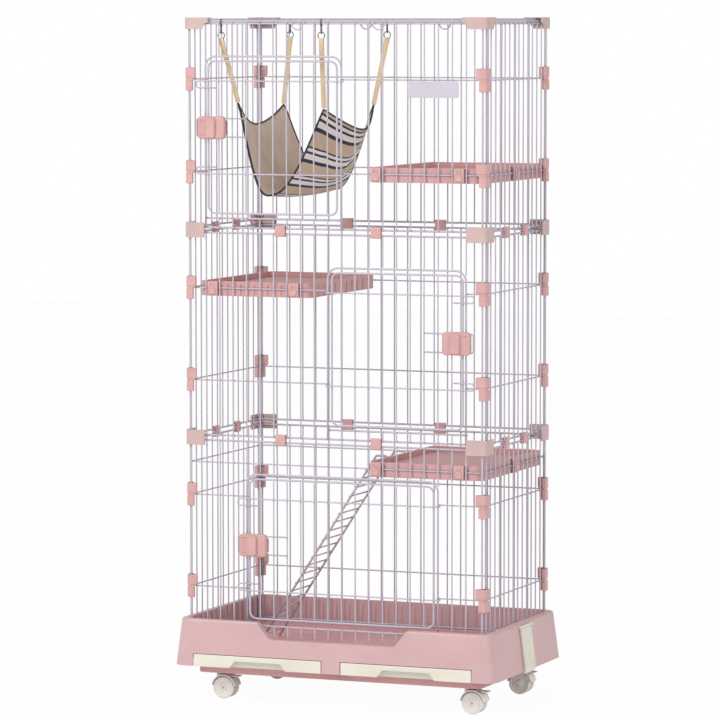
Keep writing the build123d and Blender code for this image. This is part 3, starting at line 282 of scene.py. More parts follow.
# short polyester plush: a soft nap that is brushed lighter in drifting patches
def shortPlush(s):
    made, tree = newMaterial(s["name"])
    where = addNode(tree, "ShaderNodeUVMap", {"uv_map": "cloth"})
    drift = addNode(tree, "ShaderNodeTexNoise", values={"Scale": 1 / s["drift"], "Detail": 2},
                    links={"Vector": where.outputs["UV"]})
    nap = addNode(tree, "ShaderNodeTexNoise", values={"Scale": 1 / s["nap"], "Detail": 4},
                  links={"Vector": where.outputs["UV"]})
    shade = addNode(tree, "ShaderNodeValToRGB", links={"Fac": drift.outputs["Fac"]})
    shade.color_ramp.elements[0].position = cloudBand[0]
    shade.color_ramp.elements[0].color = toLinear(s["dark"])
    shade.color_ramp.elements[1].position = cloudBand[1]
    shade.color_ramp.elements[1].color = toLinear(s["colour"])
    bump = addNode(tree, "ShaderNodeBump", values={"Strength": 0.7, "Distance": 0.0012},
                   links={"Height": nap.outputs["Fac"]})
    body = addNode(tree, "ShaderNodeBsdfPrincipled", values={"Roughness": 0.9, "Sheen Weight": 0.4,
                   "Sheen Roughness": 0.4},
                   links={"Base Color": shade.outputs["Color"], "Normal": bump.outputs["Normal"]})
    closeMaterial(tree, body)
    return made


wirePaint = {"name": "powderCoatedSteelWire", "colour": "#C0B9C4", "dark": "#B4ACBA", "peel": 0.9 * mm,
             "roughness": 0.32}
finishes = {
    "wire": powderCoatedSteel(wirePaint),
    "clip_plastic": moulded({"name": "salmonPolypropylene", "colour": "#D0A4A1", "dark": "#C99B98",
                             "cloudSize": 30 * mm, "grain": 0.8 * mm, "bump": 0.25, "roughness": 0.38}),
    "connector_plastic": moulded({"name": "blushPolypropylene", "colour": "#C8ADA9", "dark": "#C1A5A1",
                                  "cloudSize": 40 * mm, "grain": 0.8 * mm, "bump": 0.25,
                                  "roughness": 0.4}),
    "shelf_plastic": moulded({"name": "rosePolypropylene", "colour": "#CC9E9D", "dark": "#C59695",
                              "cloudSize": 60 * mm, "grain": 1.0 * mm, "bump": 0.3, "roughness": 0.4}),
    "base_plastic": moulded({"name": "dustyRosePolypropylene", "colour": "#D0ACAD", "dark": "#CAA5A6",
                             "cloudSize": 90 * mm, "grain": 1.2 * mm, "bump": 0.2, "roughness": 0.33}),
    "tray_plastic": moulded({"name": "deepRosePolypropylene", "colour": "#D9A5A6", "dark": "#D29D9E",
                             "cloudSize": 60 * mm, "grain": 1.2 * mm, "bump": 0.35,
                             "roughness": 0.45}),
    "cream_plastic": moulded({"name": "creamAbs", "colour": "#E6E1D3", "dark": "#E0DACB",
                              "cloudSize": 70 * mm, "grain": 1.0 * mm, "bump": 0.15,
                              "roughness": 0.3, "ior": 1.53}),
    "ladder_plastic": powderCoatedSteel({"name": "powderCoatedLadderWire", "colour": "#C9B9C3",
                                         "dark": "#BEACB7", "peel": 0.9 * mm, "roughness": 0.35}),
    "plate_plastic": moulded({"name": "whiteAbs", "colour": "#C4BFCA", "dark": "#BFBAC5",
                              "cloudSize": 30 * mm, "grain": 0.7 * mm, "bump": 0.1,
                              "roughness": 0.35}),
    "hammock_fabric": plainWeave({"name": "barredPolyesterCanvas", "repeat": 62 * mm,
                                  "thread": 1.6 * mm, "slub": 14 * mm,  # threads drawn twice as coarse
                                  "bars": ((0.0, "#CBB59C"), (0.42, "#20263A"), (0.54, "#EBE7E4"),
                                           (0.72, "#20263A"), (0.80, "#EBE7E4"), (0.90, "#20263A"),
                                           (0.96, "#CBB59C"))}),
    "plush": shortPlush({"name": "taupePolyesterPlush", "colour": "#D6C2B2", "dark": "#C2AC9B",
                         "drift": 60 * mm, "nap": 1.5 * mm}),
    "binding": plainWeave({"name": "darkCottonBinding", "repeat": 900 * mm, "thread": 1.2 * mm,
                           "slub": 8 * mm, "bars": ((0.0, "#2A2C36"), (0.5, "#262832"))}),
    "webbing": wovenWebbing({"name": "tanCottonWebbing", "colour": "#E6CDA9", "dark": "#DBBF98",
                             "rib": 1.6 * mm, "yarn": 3 * mm}),
    "gunmetal": platedZinc({"name": "darkNickelPlatedZinc", "colour": "#6B6A6C", "marks": 0.8 * mm,
                            "roughness": 0.3}),
    "caster_plastic": moulded({"name": "ivoryNylon", "colour": "#EFEDE8", "dark": "#EAE7E0",
                               "cloudSize": 18 * mm, "grain": 0.7 * mm, "bump": 0.15,
                               "roughness": 0.35, "ior": 1.53}),
    "axle_steel": platedZinc({"name": "zincPlatedSteel", "colour": "#B7B4AE", "marks": 0.5 * mm,
                              "roughness": 0.35}),
    "wheel_plastic": moulded({"name": "ivoryPolypropyleneTread", "colour": "#ECE9E2",
                              "dark": "#E6E2DA", "cloudSize": 12 * mm, "grain": 0.8 * mm,
                              "bump": 0.3, "roughness": 0.5}),
}
print("materials ready:", len(finishes))


def makeMesh(name, points, faces, smooth=True):
    mesh = bpy.data.meshes.new(name)
    mesh.from_pydata([tuple(p) for p in np.asarray(points, float)], [], faces)
    mesh.polygons.foreach_set("use_smooth", [smooth] * len(mesh.polygons))
    mesh.update()
    made = bpy.data.objects.new(name, mesh)
    bpy.context.scene.collection.objects.link(made)
    return made


# merges equal points and turns every face of closed shells outwards
def turnOut(piece):
    work = bmesh.new()
    work.from_mesh(piece.data)
    bmesh.ops.remove_doubles(work, verts=work.verts, dist=1e-6)
    bmesh.ops.recalc_face_normals(work, faces=work.faces)
    work.to_mesh(piece.data)
    work.free()
    return piece


# gives a finished piece its material and the body it rides on, and hides the node it stands for
def settle(piece, node, slotName):
    if not piece.data.materials:
        piece.data.materials.append(finishes[slotName])
    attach(piece, nodes[node]["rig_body"])
    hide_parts(node)


# quads between neighbouring rings of equal size, the rings closed round
def gridFaces(rings, sides, closedRings=False):
    i = np.arange(rings if closedRings else rings - 1)[:, None]
    j = np.arange(sides)[None, :]
    nextRing = (i + 1) % rings
    nextSide = (j + 1) % sides
    quads = np.stack([i * sides + j, i * sides + nextSide, nextRing * sides + nextSide,
                      nextRing * sides + j], axis=-1)
    return quads.reshape(-1, 4).tolist()


# the two faces that close a tube of equal rings at its ends
def endCaps(rings, sides):
    return [list(reversed(range(sides))), [(rings - 1) * sides + k for k in range(sides)]]


# the separate solids of a node, each as its own points, after equal points are merged
def solidIslands(node):
    work = bmesh.new()
    work.from_mesh(nodes[node].data)
    bmesh.ops.remove_doubles(work, verts=work.verts, dist=1e-6)
    work.verts.index_update()
    seen = set()
    islands = []
    for vert in work.verts:
        if vert.index in seen:
            continue
        stack = [vert]
        seen.add(vert.index)
        found = []
        while stack:
            here = stack.pop()
            found.append(here.co[:])
            for edge in here.link_edges:
                other = edge.other_vert(here)
                if other.index not in seen:
                    seen.add(other.index)
                    stack.append(other)
        islands.append(np.array(found))
    work.free()
    return islands


barShape = {"sides": 12, "endRound": ((0.0, 0.55), (0.16, 0.88), (0.5, 1.0))}
prismPoints = 12


# a round wire in a prism's box: circles along its long side, drawn in at both ends
def roundBar(low, high):
    size = high - low
    along = int(np.argmax(size))
    across = [a for a in range(3) if a != along]
    radius = min(size[a] for a in across) / 2
    middle = (low + high) / 2
    steps = [(low[along] + t * radius, r * radius) for t, r in barShape["endRound"]]
    steps += [(high[along] - t * radius, r * radius) for t, r in reversed(barShape["endRound"])]
    turn = np.linspace(0, 2 * np.pi, barShape["sides"], endpoint=False)
    rings = np.zeros((len(steps), barShape["sides"], 3))
    rings[:, :, along] = np.array([s[0] for s in steps])[:, None]
    reach = np.array([s[1] for s in steps])[:, None]
    way = 1 if (across[1] - across[0]) == 1 else -1
    rings[:, :, across[0]] = middle[across[0]] + reach * np.cos(turn)
    rings[:, :, across[1]] = middle[across[1]] + way * reach * np.sin(turn)
    sides = barShape["sides"]
    faces = gridFaces(len(steps), sides)
    return rings.reshape(-1, 3), faces + endCaps(len(steps), sides)


# a line through corners, each corner replaced by an arc of a radius
def roundedPath(corners, radius, closed=False, steps=7):
    corners = [np.array(c, float) for c in corners]
    count = len(corners)
    line = []
    for k, corner in enumerate(corners):
        if not closed and k in (0, count - 1):
            line.append(corner[None, :])
            continue
        back = corners[k - 1] - corner
        ahead = corners[(k + 1) % count] - corner
        back, backLength = back / np.linalg.norm(back), np.linalg.norm(back)
        ahead, aheadLength = ahead / np.linalg.norm(ahead), np.linalg.norm(ahead)
        half = math.acos(np.clip(back @ ahead, -1, 1)) / 2
        cut = min(radius / math.tan(half), 0.49 * backLength, 0.49 * aheadLength)
        bend = cut * math.tan(half)
        centre = corner + (back + ahead) / np.linalg.norm(back + ahead) * bend / math.sin(half)
        first = corner + back * cut - centre
        last = corner + ahead * cut - centre
        sweep = np.linspace(0, 1, steps)[:, None]
        full = math.pi - 2 * half
        line.append(centre + (np.sin((1 - sweep) * full) * first + np.sin(sweep * full) * last)
                    / math.sin(full))
    return np.vstack(line)


# circles carried along a line, each square to it, turned as little as possible
def tubeAlong(line, radius, closed=False, sides=12, flat=1.0):
    ahead = np.roll(line, -1, axis=0) - np.roll(line, 1, axis=0)
    if not closed:
        ahead[0] = line[1] - line[0]
        ahead[-1] = line[-1] - line[-2]
    ahead /= np.linalg.norm(ahead, axis=1)[:, None]
    side = np.zeros_like(line)
    pick = np.eye(3)[int(np.argmin(np.abs(ahead).max(axis=0)))]
    first = np.cross(ahead[0], pick)
    side[0] = first / np.linalg.norm(first)
    for k in range(1, len(line)):
        carried = side[k - 1] - (side[k - 1] @ ahead[k]) * ahead[k]
        side[k] = carried / np.linalg.norm(carried)
    other = np.cross(ahead, side)
    turn = np.linspace(0, 2 * np.pi, sides, endpoint=False)
    rings = (line[:, None, :] + radius * np.cos(turn)[None, :, None] * side[:, None, :]
             + radius * flat * np.sin(turn)[None, :, None] * other[:, None, :])
    faces = gridFaces(len(line), sides, closed)
    if not closed:
        faces += endCaps(len(line), sides)
    return rings.reshape(-1, 3), faces


# several point and face lists as one
def gather(shapes):
    points, faces = [], []
    offset = 0
    for shapePoints, shapeFaces in shapes:
        points.append(shapePoints)
        faces += [[v + offset for v in face] for face in shapeFaces]
        offset += len(shapePoints)
    return np.vstack(points), faces


# round wires in place of the straight prisms of a node, and the boxes of its bent wires
def straightWires(node):
    bars, bent = [], []
    for points in solidIslands(node):
        low, high = points.min(axis=0), points.max(axis=0)
        if len(points) == prismPoints:
            bars.append(roundBar(low, high))
        else:
            bent.append((low, high))
    return bars, bent


panelNodes = [f"{side}_panel_{tier}" for side in ("front", "back", "left", "right") for tier in tierNames]
for node in panelNodes + ["roof_panel"]:
    settle(makeMesh(node + "_wires", *gather(straightWires(node)[0])), node, "wire")
print("panels ready")

# Doorways and doors: the bent wires are drawn again inside their boxes
wires = {"thin": 3.2 * mm, "thick": 4.5 * mm, "hoopCorner": 24 * mm, "doorCorner": 16 * mm,
         "loopCorner": 5 * mm, "curl": 4.7 * mm, "curlTurn": 290, "curlSteps": 22,
         "stopLoopLeast": 30 * mm, "guideReturn": 48 * mm, "hingeEase": 0.5 * mm, "roofLoopSteps": 17}
hexReach = 1 / math.cos(math.radians(30))
thinRadius = wires["thin"] / 2
thickRadius = wires["thick"] / 2


def hoopWires():
    bent = straightWires("doorway_hoops")[1]
    shapes = []
    for low, high in bent:
        y = (low[1] + high[1]) / 2
        left, right = low[0] + thickRadius * hexReach, high[0] - thickRadius * hexReach
        top = high[2] - thickRadius
        path = roundedPath([(left, y, low[2]), (left, y, top), (right, y, top), (right, y, low[2])],
                           wires["hoopCorner"])
        shapes.append(tubeAlong(path, thickRadius))
    settle(makeMesh("doorway_hoop_wires", *gather(shapes)), "doorway_hoops", "wire")


def doorWires(tier):
    node = f"door_{tier}"
    shapes, bent = straightWires(node)
    hinge = jointPlaces[f"door_{tier}_hinge"]
    way = 1 if hinge[0] > (bent[0][0][0] + bent[0][1][0]) / 2 else -1
    bent.sort(key=lambda box: box[1][2] - box[0][2])
    frameLow, frameHigh = bent[-1]
    left, right = frameLow[0] + thickRadius, frameHigh[0] - thickRadius
    bottom, top = frameLow[2] + thickRadius, frameHigh[2] - thickRadius
    frameY = (frameLow[1] + frameHigh[1]) / 2
    ring = roundedPath([(left, frameY, bottom), (right, frameY, bottom), (right, frameY, top),
                        (left, frameY, top)], wires["doorCorner"], closed=True)
    shapes.append(tubeAlong(ring, thickRadius, closed=True))
    middleZ = (bottom + top) / 2
    for low, high in bent[:-1]:
        y = hinge[1] - wires["curl"]
        if high[2] - low[2] > wires["stopLoopLeast"]:
            tip = low[0] + thinRadius if way > 0 else high[0] - thinRadius
            end = high[0] if way > 0 else low[0]
            corners = [(end, y, low[2] + thinRadius), (tip, y, low[2] + thinRadius),
                       (tip, y, high[2] - thinRadius), (end, y, high[2] - thinRadius)]
            shapes.append(tubeAlong(roundedPath(corners, wires["loopCorner"]), thinRadius))
            continue
        above = (low[2] + high[2]) / 2 > middleZ
        straightZ = high[2] - thinRadius * hexReach if above else low[2] + thinRadius * hexReach
        returnZ = low[2] + thinRadius * hexReach if above else high[2] - thinRadius * hexReach
        tip = low[0] + thinRadius if way > 0 else high[0] - thinRadius
        back = tip + way * wires["guideReturn"]
        line = roundedPath([(back, y, returnZ), (tip, y, returnZ), (tip, y, straightZ),
                            (hinge[0] - way * wires["hingeEase"], y, straightZ)], wires["loopCorner"])
        turn = np.radians(np.linspace(0, wires["curlTurn"], wires["curlSteps"]))
        curl = np.stack([hinge[0] + way * wires["curl"] * np.sin(turn),
                         hinge[1] - wires["curl"] * np.cos(turn), np.full(len(turn), straightZ)], axis=1)
        shapes.append(tubeAlong(np.vstack([line, curl]), thinRadius))
    settle(makeMesh(node + "_wires", *gather(shapes)), node, "wire")


def loopWires():
    bent = straightWires("roof_loops")[1]
    shapes = []
    for low, high in bent:
        y = (low[1] + high[1]) / 2
        radius = (high[0] - low[0]) / 2 - thinRadius
        middle = (low[0] + high[0]) / 2
        turn = np.radians(np.linspace(180, 360, wires["roofLoopSteps"]))
        spring = low[2] + thinRadius + radius
        arc = np.stack([middle + radius * np.cos(turn), np.full(len(turn), y),
                        spring + radius * np.sin(turn)], axis=1)
        line = np.vstack([[middle - radius, y, high[2]], arc, [middle + radius, y, high[2]]])
        shapes.append(tubeAlong(line, thinRadius))
    settle(makeMesh("roof_loop_wires", *gather(shapes)), "roof_loops", "wire")


hoopWires()
for tier in tierNames:
    doorWires(tier)
loopWires()
print("doors ready")


# Moulded pieces: the node's own shape, with its edges rounded off as the mould leaves them
creaseAngle = math.radians(35)


def dress(node, slotName, edge, segments=2):
    mesh = nodes[node].data.copy()
    mesh.name = node + "_moulded"
    work = bmesh.new()
    work.from_mesh(mesh)
    bmesh.ops.remove_doubles(work, verts=work.verts, dist=2e-6)
    bmesh.ops.dissolve_limit(work, angle_limit=math.radians(1), verts=work.verts, edges=work.edges)
    bmesh.ops.recalc_face_normals(work, faces=work.faces)
    work.to_mesh(mesh)
    work.free()
    mesh.materials.clear()
    mesh.polygons.foreach_set("use_smooth", [True] * len(mesh.polygons))
    mesh.set_sharp_from_angle(angle=creaseAngle)
    piece = bpy.data.objects.new(node + "_moulded", mesh)
    bpy.context.scene.collection.objects.link(piece)
    rounding = piece.modifiers.new("mouldEdge", "BEVEL")
    rounding.width = edge
    rounding.segments = segments
    rounding.limit_method = "ANGLE"
    rounding.angle_limit = creaseAngle
    rounding.use_clamp_overlap = True
    rounding.harden_normals = True
    rounding.miter_outer = "MITER_ARC"
    settle(piece, node, slotName)


mouldEdges = {"tier_connectors": ("connector_plastic", 1.2),
              "corner_caps": ("connector_plastic", 0.9), "seam_clips": ("clip_plastic", 0.9),
              "shelf_clips": ("clip_plastic", 1.0), "label_plate": ("plate_plastic", 0.4),
              "shelf_upper": ("shelf_plastic", 1.2), "shelf_middle": ("shelf_plastic", 1.2),
              "shelf_lower": ("shelf_plastic", 1.2), "base_shell": ("base_plastic", 1.0),
              "plinth": ("tray_plastic", 1.2), "drawer_left": ("cream_plastic", 0.8),
              "drawer_right": ("cream_plastic", 0.8), "side_clasp_left": ("cream_plastic", 0.7),
              "side_clasp_right": ("cream_plastic", 0.7), "clasp_lugs": ("cream_plastic", 0.6)}
for node, (slotName, edge) in mouldEdges.items():
    dress(node, slotName, edge * mm)
for tier in tierNames:
    dress(f"latch_{tier}", "clip_plastic", 1.4 * mm, 3)
print("moulded pieces ready")


# a profile of axis distance and radius, turned about the Y axis
def lathe(profile, centre, way, turns):
    profile = np.array(profile) * mm
    turn = np.linspace(0, 2 * np.pi, turns, endpoint=False)
    points = np.zeros((len(profile), turns, 3))
    points[:, :, 0] = centre[0] + profile[:, 1][:, None] * np.cos(turn)
    points[:, :, 1] = centre[1] + way * profile[:, 0][:, None]
    points[:, :, 2] = centre[2] + profile[:, 1][:, None] * np.sin(turn)
    faces = gridFaces(len(profile), turns, True)
    if way > 0:
        faces = [face[::-1] for face in faces]
    return points.reshape(-1, 3), faces


# Corner clips: an angle over two end uprights, in two lobes with a waist between them
clip = {"height": 52.0, "waist": 6.0, "groove": 1.2, "wall": 2.4, "lip": 6.9, "lipFront": 13.5,
        "lipSide": 17.1, "corner": 6.0, "edge": 0.8, "slope": 0.7, "longArm": 7.0}


# the angle's outline with its outer faces and arm ends drawn in, from the outer corner at zero
def clipOutline(inset, longer, s):
    arc = np.linspace(0, math.pi / 2, 7)
    radius = s["corner"]
    reachX, reachY = s["reachX"] + longer, s["reachY"]
    outer = [(-inset - radius * (1 - math.sin(a)), -inset - radius * (1 - math.cos(a))) for a in arc]
    inner = [(-inset, -reachY + inset), (-s["lip"], -reachY + inset), (-s["lip"], -s["lipSide"]),
             (-s["wall"], -s["lipSide"]), (-s["wall"], -s["wall"]), (-s["lipFront"], -s["wall"]),
             (-s["lipFront"], -s["lip"]), (-reachX + inset, -s["lip"]), (-reachX + inset, -inset)]
    return np.array(outer + inner) * mm


def cornerClips(s):
    shapes = []
    half = (s["height"] - s["waist"]) / 2
    longer = s["longArm"]  # the upper lobe's long arm reaches further
    levels = ((0, s["edge"], 0), (s["edge"], 0, 0), (half - s["slope"], 0, 0), (half, s["groove"], 0),
              (half + s["waist"], s["groove"], longer), (half + s["waist"] + s["slope"], 0, longer),
              (s["height"] - s["edge"], 0, longer), (s["height"], s["edge"], longer))
    for points in solidIslands("corner_clips"):
        low, high = points.min(axis=0), points.max(axis=0)
        signs = np.sign((low + high)[:2])
        outer = np.where(signs > 0, high[:2], low[:2])
        sizes = {**s, "reachX": (high[0] - low[0]) / mm, "reachY": (high[1] - low[1]) / mm}
        rings = []
        for z, inset, extra in levels:
            flat = outer + clipOutline(inset, extra, sizes) * signs
            level = high[2] - (s["height"] - z) * mm
            rings.append(np.column_stack([flat, np.full(len(flat), level)]))
        sides = len(rings[0])
        faces = gridFaces(len(rings), sides)
        faces += endCaps(len(rings), sides)
        if signs[0] * signs[1] > 0:
            faces = [face[::-1] for face in faces]
        shapes.append((np.vstack(rings), faces))
    made = turnOut(makeMesh("corner_clip_set", *gather(shapes)))
    made.data.set_sharp_from_angle(angle=math.radians(30))
    settle(made, "corner_clips", "clip_plastic")


cornerClips(clip)

# Shelf knobs: a round button on the face of each shelf clip, under two moulded ridges
knob = {"radius": 8.6, "rise": 1.9, "round": 0.9, "turns": 28, "fromFoot": 12.5, "lip": 2.4,
        "slope": 3.2, "sunk": 0.5, "middle": 0.2, "ridge": (2.2, 6.5, 1.2), "ridgeGap": 4.2,
        "ridgeTop": 3.0}


# a plain block between two corners
def boxShape(low, high):
    corners = np.array([[(low, high)[x][0], (low, high)[y][1], (low, high)[z][2]]
                        for z in (0, 1) for x, y in ((0, 0), (1, 0), (1, 1), (0, 1))])
    return corners, [[3, 2, 1, 0], [4, 5, 6, 7], [0, 1, 5, 4], [1, 2, 6, 5], [2, 3, 7, 6], [3, 0, 4, 7]]


def shelfKnobs(s):
    shapes = []
    profile = [(0, s["radius"])]
    profile += [(s["rise"] - s["round"] * (1 - math.sin(a)),
                 s["radius"] - s["round"] * (1 - math.cos(a))) for a in np.linspace(0, math.pi / 2, 5)]
    profile += [(s["rise"], s["radius"] - s["lip"]), (s["rise"] - s["sunk"], s["radius"] - s["slope"]),
                (s["rise"] - s["sunk"], s["middle"]), (0, s["middle"])]
    for points in solidIslands("shelf_clips"):
        low, high = points.min(axis=0), points.max(axis=0)
        size = high - low
        middle = (low + high) / 2
        along = 1 if size[0] > size[1] else 0
        way = float(np.sign(middle[along]))
        face = high[along] if way > 0 else low[along]
        centre = np.array([middle[0], middle[1], low[2] + s["fromFoot"] * mm])
        centre[along] = face
        turned, faces = lathe(profile, (0, 0, 0), 1, s["turns"])
        if along == 0:
            turned = turned[:, [1, 0, 2]]
            faces = [loop[::-1] for loop in faces]
        turned[:, along] *= way
        if way < 0:
            faces = [loop[::-1] for loop in faces]
        shapes.append((turned + centre, faces))
        across = 1 - along
        width, height, rise = (value * mm for value in s["ridge"])
        for offset in (-1, 1):
            a, b = np.zeros(3), np.zeros(3)
            place = middle[across] + offset * s["ridgeGap"] * mm
            a[across], b[across] = place - width / 2, place + width / 2
            a[2] = high[2] - s["ridgeTop"] * mm - height
            b[2] = high[2] - s["ridgeTop"] * mm
            a[along], b[along] = sorted((face, face + way * rise))
            shapes.append(boxShape(a, b))
    made = turnOut(makeMesh("shelf_knob_set", *gather(shapes)))
    made.data.set_sharp_from_angle(angle=math.radians(40))
    made.data.materials.append(finishes["clip_plastic"])
    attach(made, "root")


shelfKnobs(knob)
print("clips ready")

# Floor grates: a plate with rows of small slots, over a turned-down rim
grate = {"pitchX": 14 * mm, "pitchY": 11 * mm, "slotX": 8.5 * mm, "slotY": 3.4 * mm, "margin": 9 * mm,
         "plate": 2.6 * mm, "rimRound": 1.2 * mm}


# the plate is a grid of cells; in each cell a ring of faces runs from the cell's edge to its slot,
# and walls run down from the slot's edge to the underside
def floorGrate(side):
    node = f"floor_grate_{side}"
    low, high = (np.array(c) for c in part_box(node))
    top = high[2]
    under = top - grate["plate"]
    startX, startY = low[0] + grate["margin"], low[1] + grate["margin"]
    spanX, spanY = high[0] - low[0] - 2 * grate["margin"], high[1] - low[1] - 2 * grate["margin"]
    countX, countY = int(spanX / grate["pitchX"]), int(spanY / grate["pitchY"])
    cellX, cellY = spanX / countX, spanY / countY
    i, j = np.meshgrid(np.arange(countX), np.arange(countY), indexing="ij")
    cx = (startX + (i + 0.5) * cellX).ravel()
    cy = (startY + (j + 0.5) * cellY).ravel()
    signs = np.array([(-1, -1), (1, -1), (1, 1), (-1, 1)])
    count = len(cx)
    points = np.zeros((count, 16, 3))
    for layer, z in ((0, top), (8, under)):
        for ring, (rx, ry) in ((0, (cellX / 2, cellY / 2)), (4, (grate["slotX"] / 2, grate["slotY"] / 2))):
            for corner in range(4):
                points[:, layer + ring + corner, 0] = cx + signs[corner, 0] * rx
                points[:, layer + ring + corner, 1] = cy + signs[corner, 1] * ry
                points[:, layer + ring + corner, 2] = z
    cell = []
    for k in range(4):
        n = (k + 1) % 4
        cell.append([k, n, 4 + n, 4 + k])
        cell.append([8 + n, 8 + k, 12 + k, 12 + n])
        cell.append([4 + k, 4 + n, 12 + n, 12 + k])
    cell = np.array(cell)
    faces = (cell[None, :, :] + 16 * np.arange(count)[:, None, None]).reshape(-1, 4).tolist()
    rim = [low[0], startX, startX + spanX, high[0]], [low[1], startY, startY + spanY, high[1]]
    outer = np.array([(rim[0][a], rim[1][b]) for a, b in ((0, 0), (3, 0), (3, 3), (0, 3))])
    inner = np.array([(rim[0][a], rim[1][b]) for a, b in ((1, 1), (2, 1), (2, 2), (1, 2))])
    rings = [(outer, low[2]), (outer, top - grate["rimRound"]), (outer, top), (inner, top)]
    border = [np.column_stack([ring, np.full(4, z)]) for ring, z in rings]
    border += [np.column_stack([inner, np.full(4, under)]), np.column_stack([inner, np.full(4, low[2])])]
    borderPoints = np.vstack(border)
    borderFaces = gridFaces(len(border), 4, True)
    points, faces = gather([(points.reshape(-1, 3), faces), (borderPoints, borderFaces)])
    made = makeMesh(node + "_plate", points, faces, smooth=False)
    settle(turnOut(made), node, "tray_plastic")


floorGrate("left")
floorGrate("right")

# Ladder: two rails and rungs of round wire, bent over the shelf's rim
ladder = {"rail": 5.2 * mm, "rung": 3.6 * mm, "rungs": 21, "pitch": 24.2 * mm, "slope": 56.9,
          "hookBend": 3 * mm, "hookRun": 24 * mm, "hookDrop": 8 * mm, "inset": 0.6 * mm,
          "firstRung": 0.75, "rungInset": 0.3}


def makeLadder():
    low, high = (np.array(c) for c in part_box("ladder"))
    hinge = jointPlaces["ladder_hinge"]
    slope = math.radians(ladder["slope"])
    along = np.array([-math.cos(slope), 0, -math.sin(slope)])
    length = (hinge[2] - low[2] - ladder["rail"] / 2 * math.cos(slope)) / math.sin(slope)
    shapes = []
    inset = ladder["rail"] / 2 + ladder["inset"]
    for y in (low[1] + inset, high[1] - inset):
        top = np.array([hinge[0], y, hinge[2]])
        foot = top + along * length
        over = top + (ladder["hookRun"], 0, 0)
        corners = [foot, top, over, over - (0, 0, ladder["hookDrop"])]
        shapes.append(tubeAlong(roundedPath(corners, ladder["hookBend"]), ladder["rail"] / 2))
    for number in range(ladder["rungs"]):
        step = ladder["pitch"] * (number + ladder["firstRung"])
        middle = np.array([hinge[0], 0, hinge[2]]) + along * step
        lift = np.array([-math.sin(slope), 0, math.cos(slope)]) * (ladder["rail"] / 2)
        line = np.array([middle + lift + (0, low[1] + ladder["rail"] * ladder["rungInset"], 0),
                         middle + lift + (0, high[1] - ladder["rail"] * ladder["rungInset"], 0)])
        shapes.append(tubeAlong(line, ladder["rung"] / 2, sides=10))
    settle(makeMesh("ladder_wires", *gather(shapes)), "ladder", "ladder_plastic")


makeLadder()
print("ladder and floor ready")

# Casters: turned twin wheels; the hood, axle and lever keep their nodes' shapes
wheel = {"radius": 25.0, "tread": 13.0, "rim": 2.2, "hub": 8.0, "hubRise": 1.2, "dish": 2.0,
         "dishRadius": 20.5, "bore": 3.06, "turns": 48}


# bore, inner face, rounded tread, rim, dished outer face and raised hub
def wheelProfile(s):
    tread = [(s["rim"] * (1 - math.cos(a)), s["radius"] - s["rim"] * (1 - math.sin(a)))
             for a in np.linspace(0, math.pi / 2, 6)]
    outer = [(s["tread"] - x, r) for x, r in reversed(tread)]
    face = [(s["tread"], s["dishRadius"] + 0.6), (s["tread"] - s["dish"], s["dishRadius"] - 1.5),
            (s["tread"] - s["dish"], s["hub"] + 1.5), (s["tread"] - 0.6, s["hub"]),
            (s["tread"], s["hub"] - 1.2), (s["tread"], s["bore"])]
    return [(0, s["bore"])] + tread + outer + face


for row in ("front", "back"):
    for end in ("left", "right"):
        name = f"caster_{row}_{end}"
        low, high = (np.array(c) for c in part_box(name + "_wheels"))
        centre = (low + high) / 2
        halves = []
        for way in (-1, 1):
            start = centre + np.array([0, way * ((high[1] - low[1]) / 2 - wheel["tread"] * mm), 0])
            halves.append(lathe(wheelProfile(wheel), start, way, wheel["turns"]))
        made = makeMesh(name + "_wheel_pair", *gather(halves))
        made.data.set_sharp_from_angle(angle=math.radians(40))
        settle(made, name + "_wheels", "wheel_plastic")
        dress(name + "_hood", "caster_plastic", 0.7 * mm)
        dress(name + "_brake", "caster_plastic", 0.6 * mm)
        nodes[name + "_axle"].data.materials.clear()
        nodes[name + "_axle"].data.materials.append(finishes["axle_steel"])
print("casters ready")

# Hammock: a sheet drawn as it hangs, in one long fold. Its corners are held, its fold is held
# lightly, and the simulation settles it from there
cloth = {"across": 66, "along": 44, "sides": 9, "thick": 2.6 * mm, "foldHold": 0.06, "frames": 36,
         "bulge": 9 * mm, "spread": 0.8, "fall": 1.35, "binding": 2.6 * mm, "lift": -2.5 * mm, "held": 3}
clothFeel = {"quality": 8, "mass": 0.25, "tension_stiffness": 40, "compression_stiffness": 30,
             "shear_stiffness": 15, "bending_stiffness": 6, "pin_stiffness": 1.0}
bindingUv = {"round": 0.016, "along": 1.6, "sides": 10}
clothStations = np.array([
    (-160, -252, 1358, -172, 1145, -43, 1346), (-85, -265, 1318, -160, 1142, -22, 1318),
    (-5, -270, 1310, -150, 1142, -14, 1304), (75, -271, 1322, -142, 1146, -18, 1306),
    (142, -270, 1350, -135, 1150, -45, 1349)]) * mm  # y, left x z, fold x z, right x z


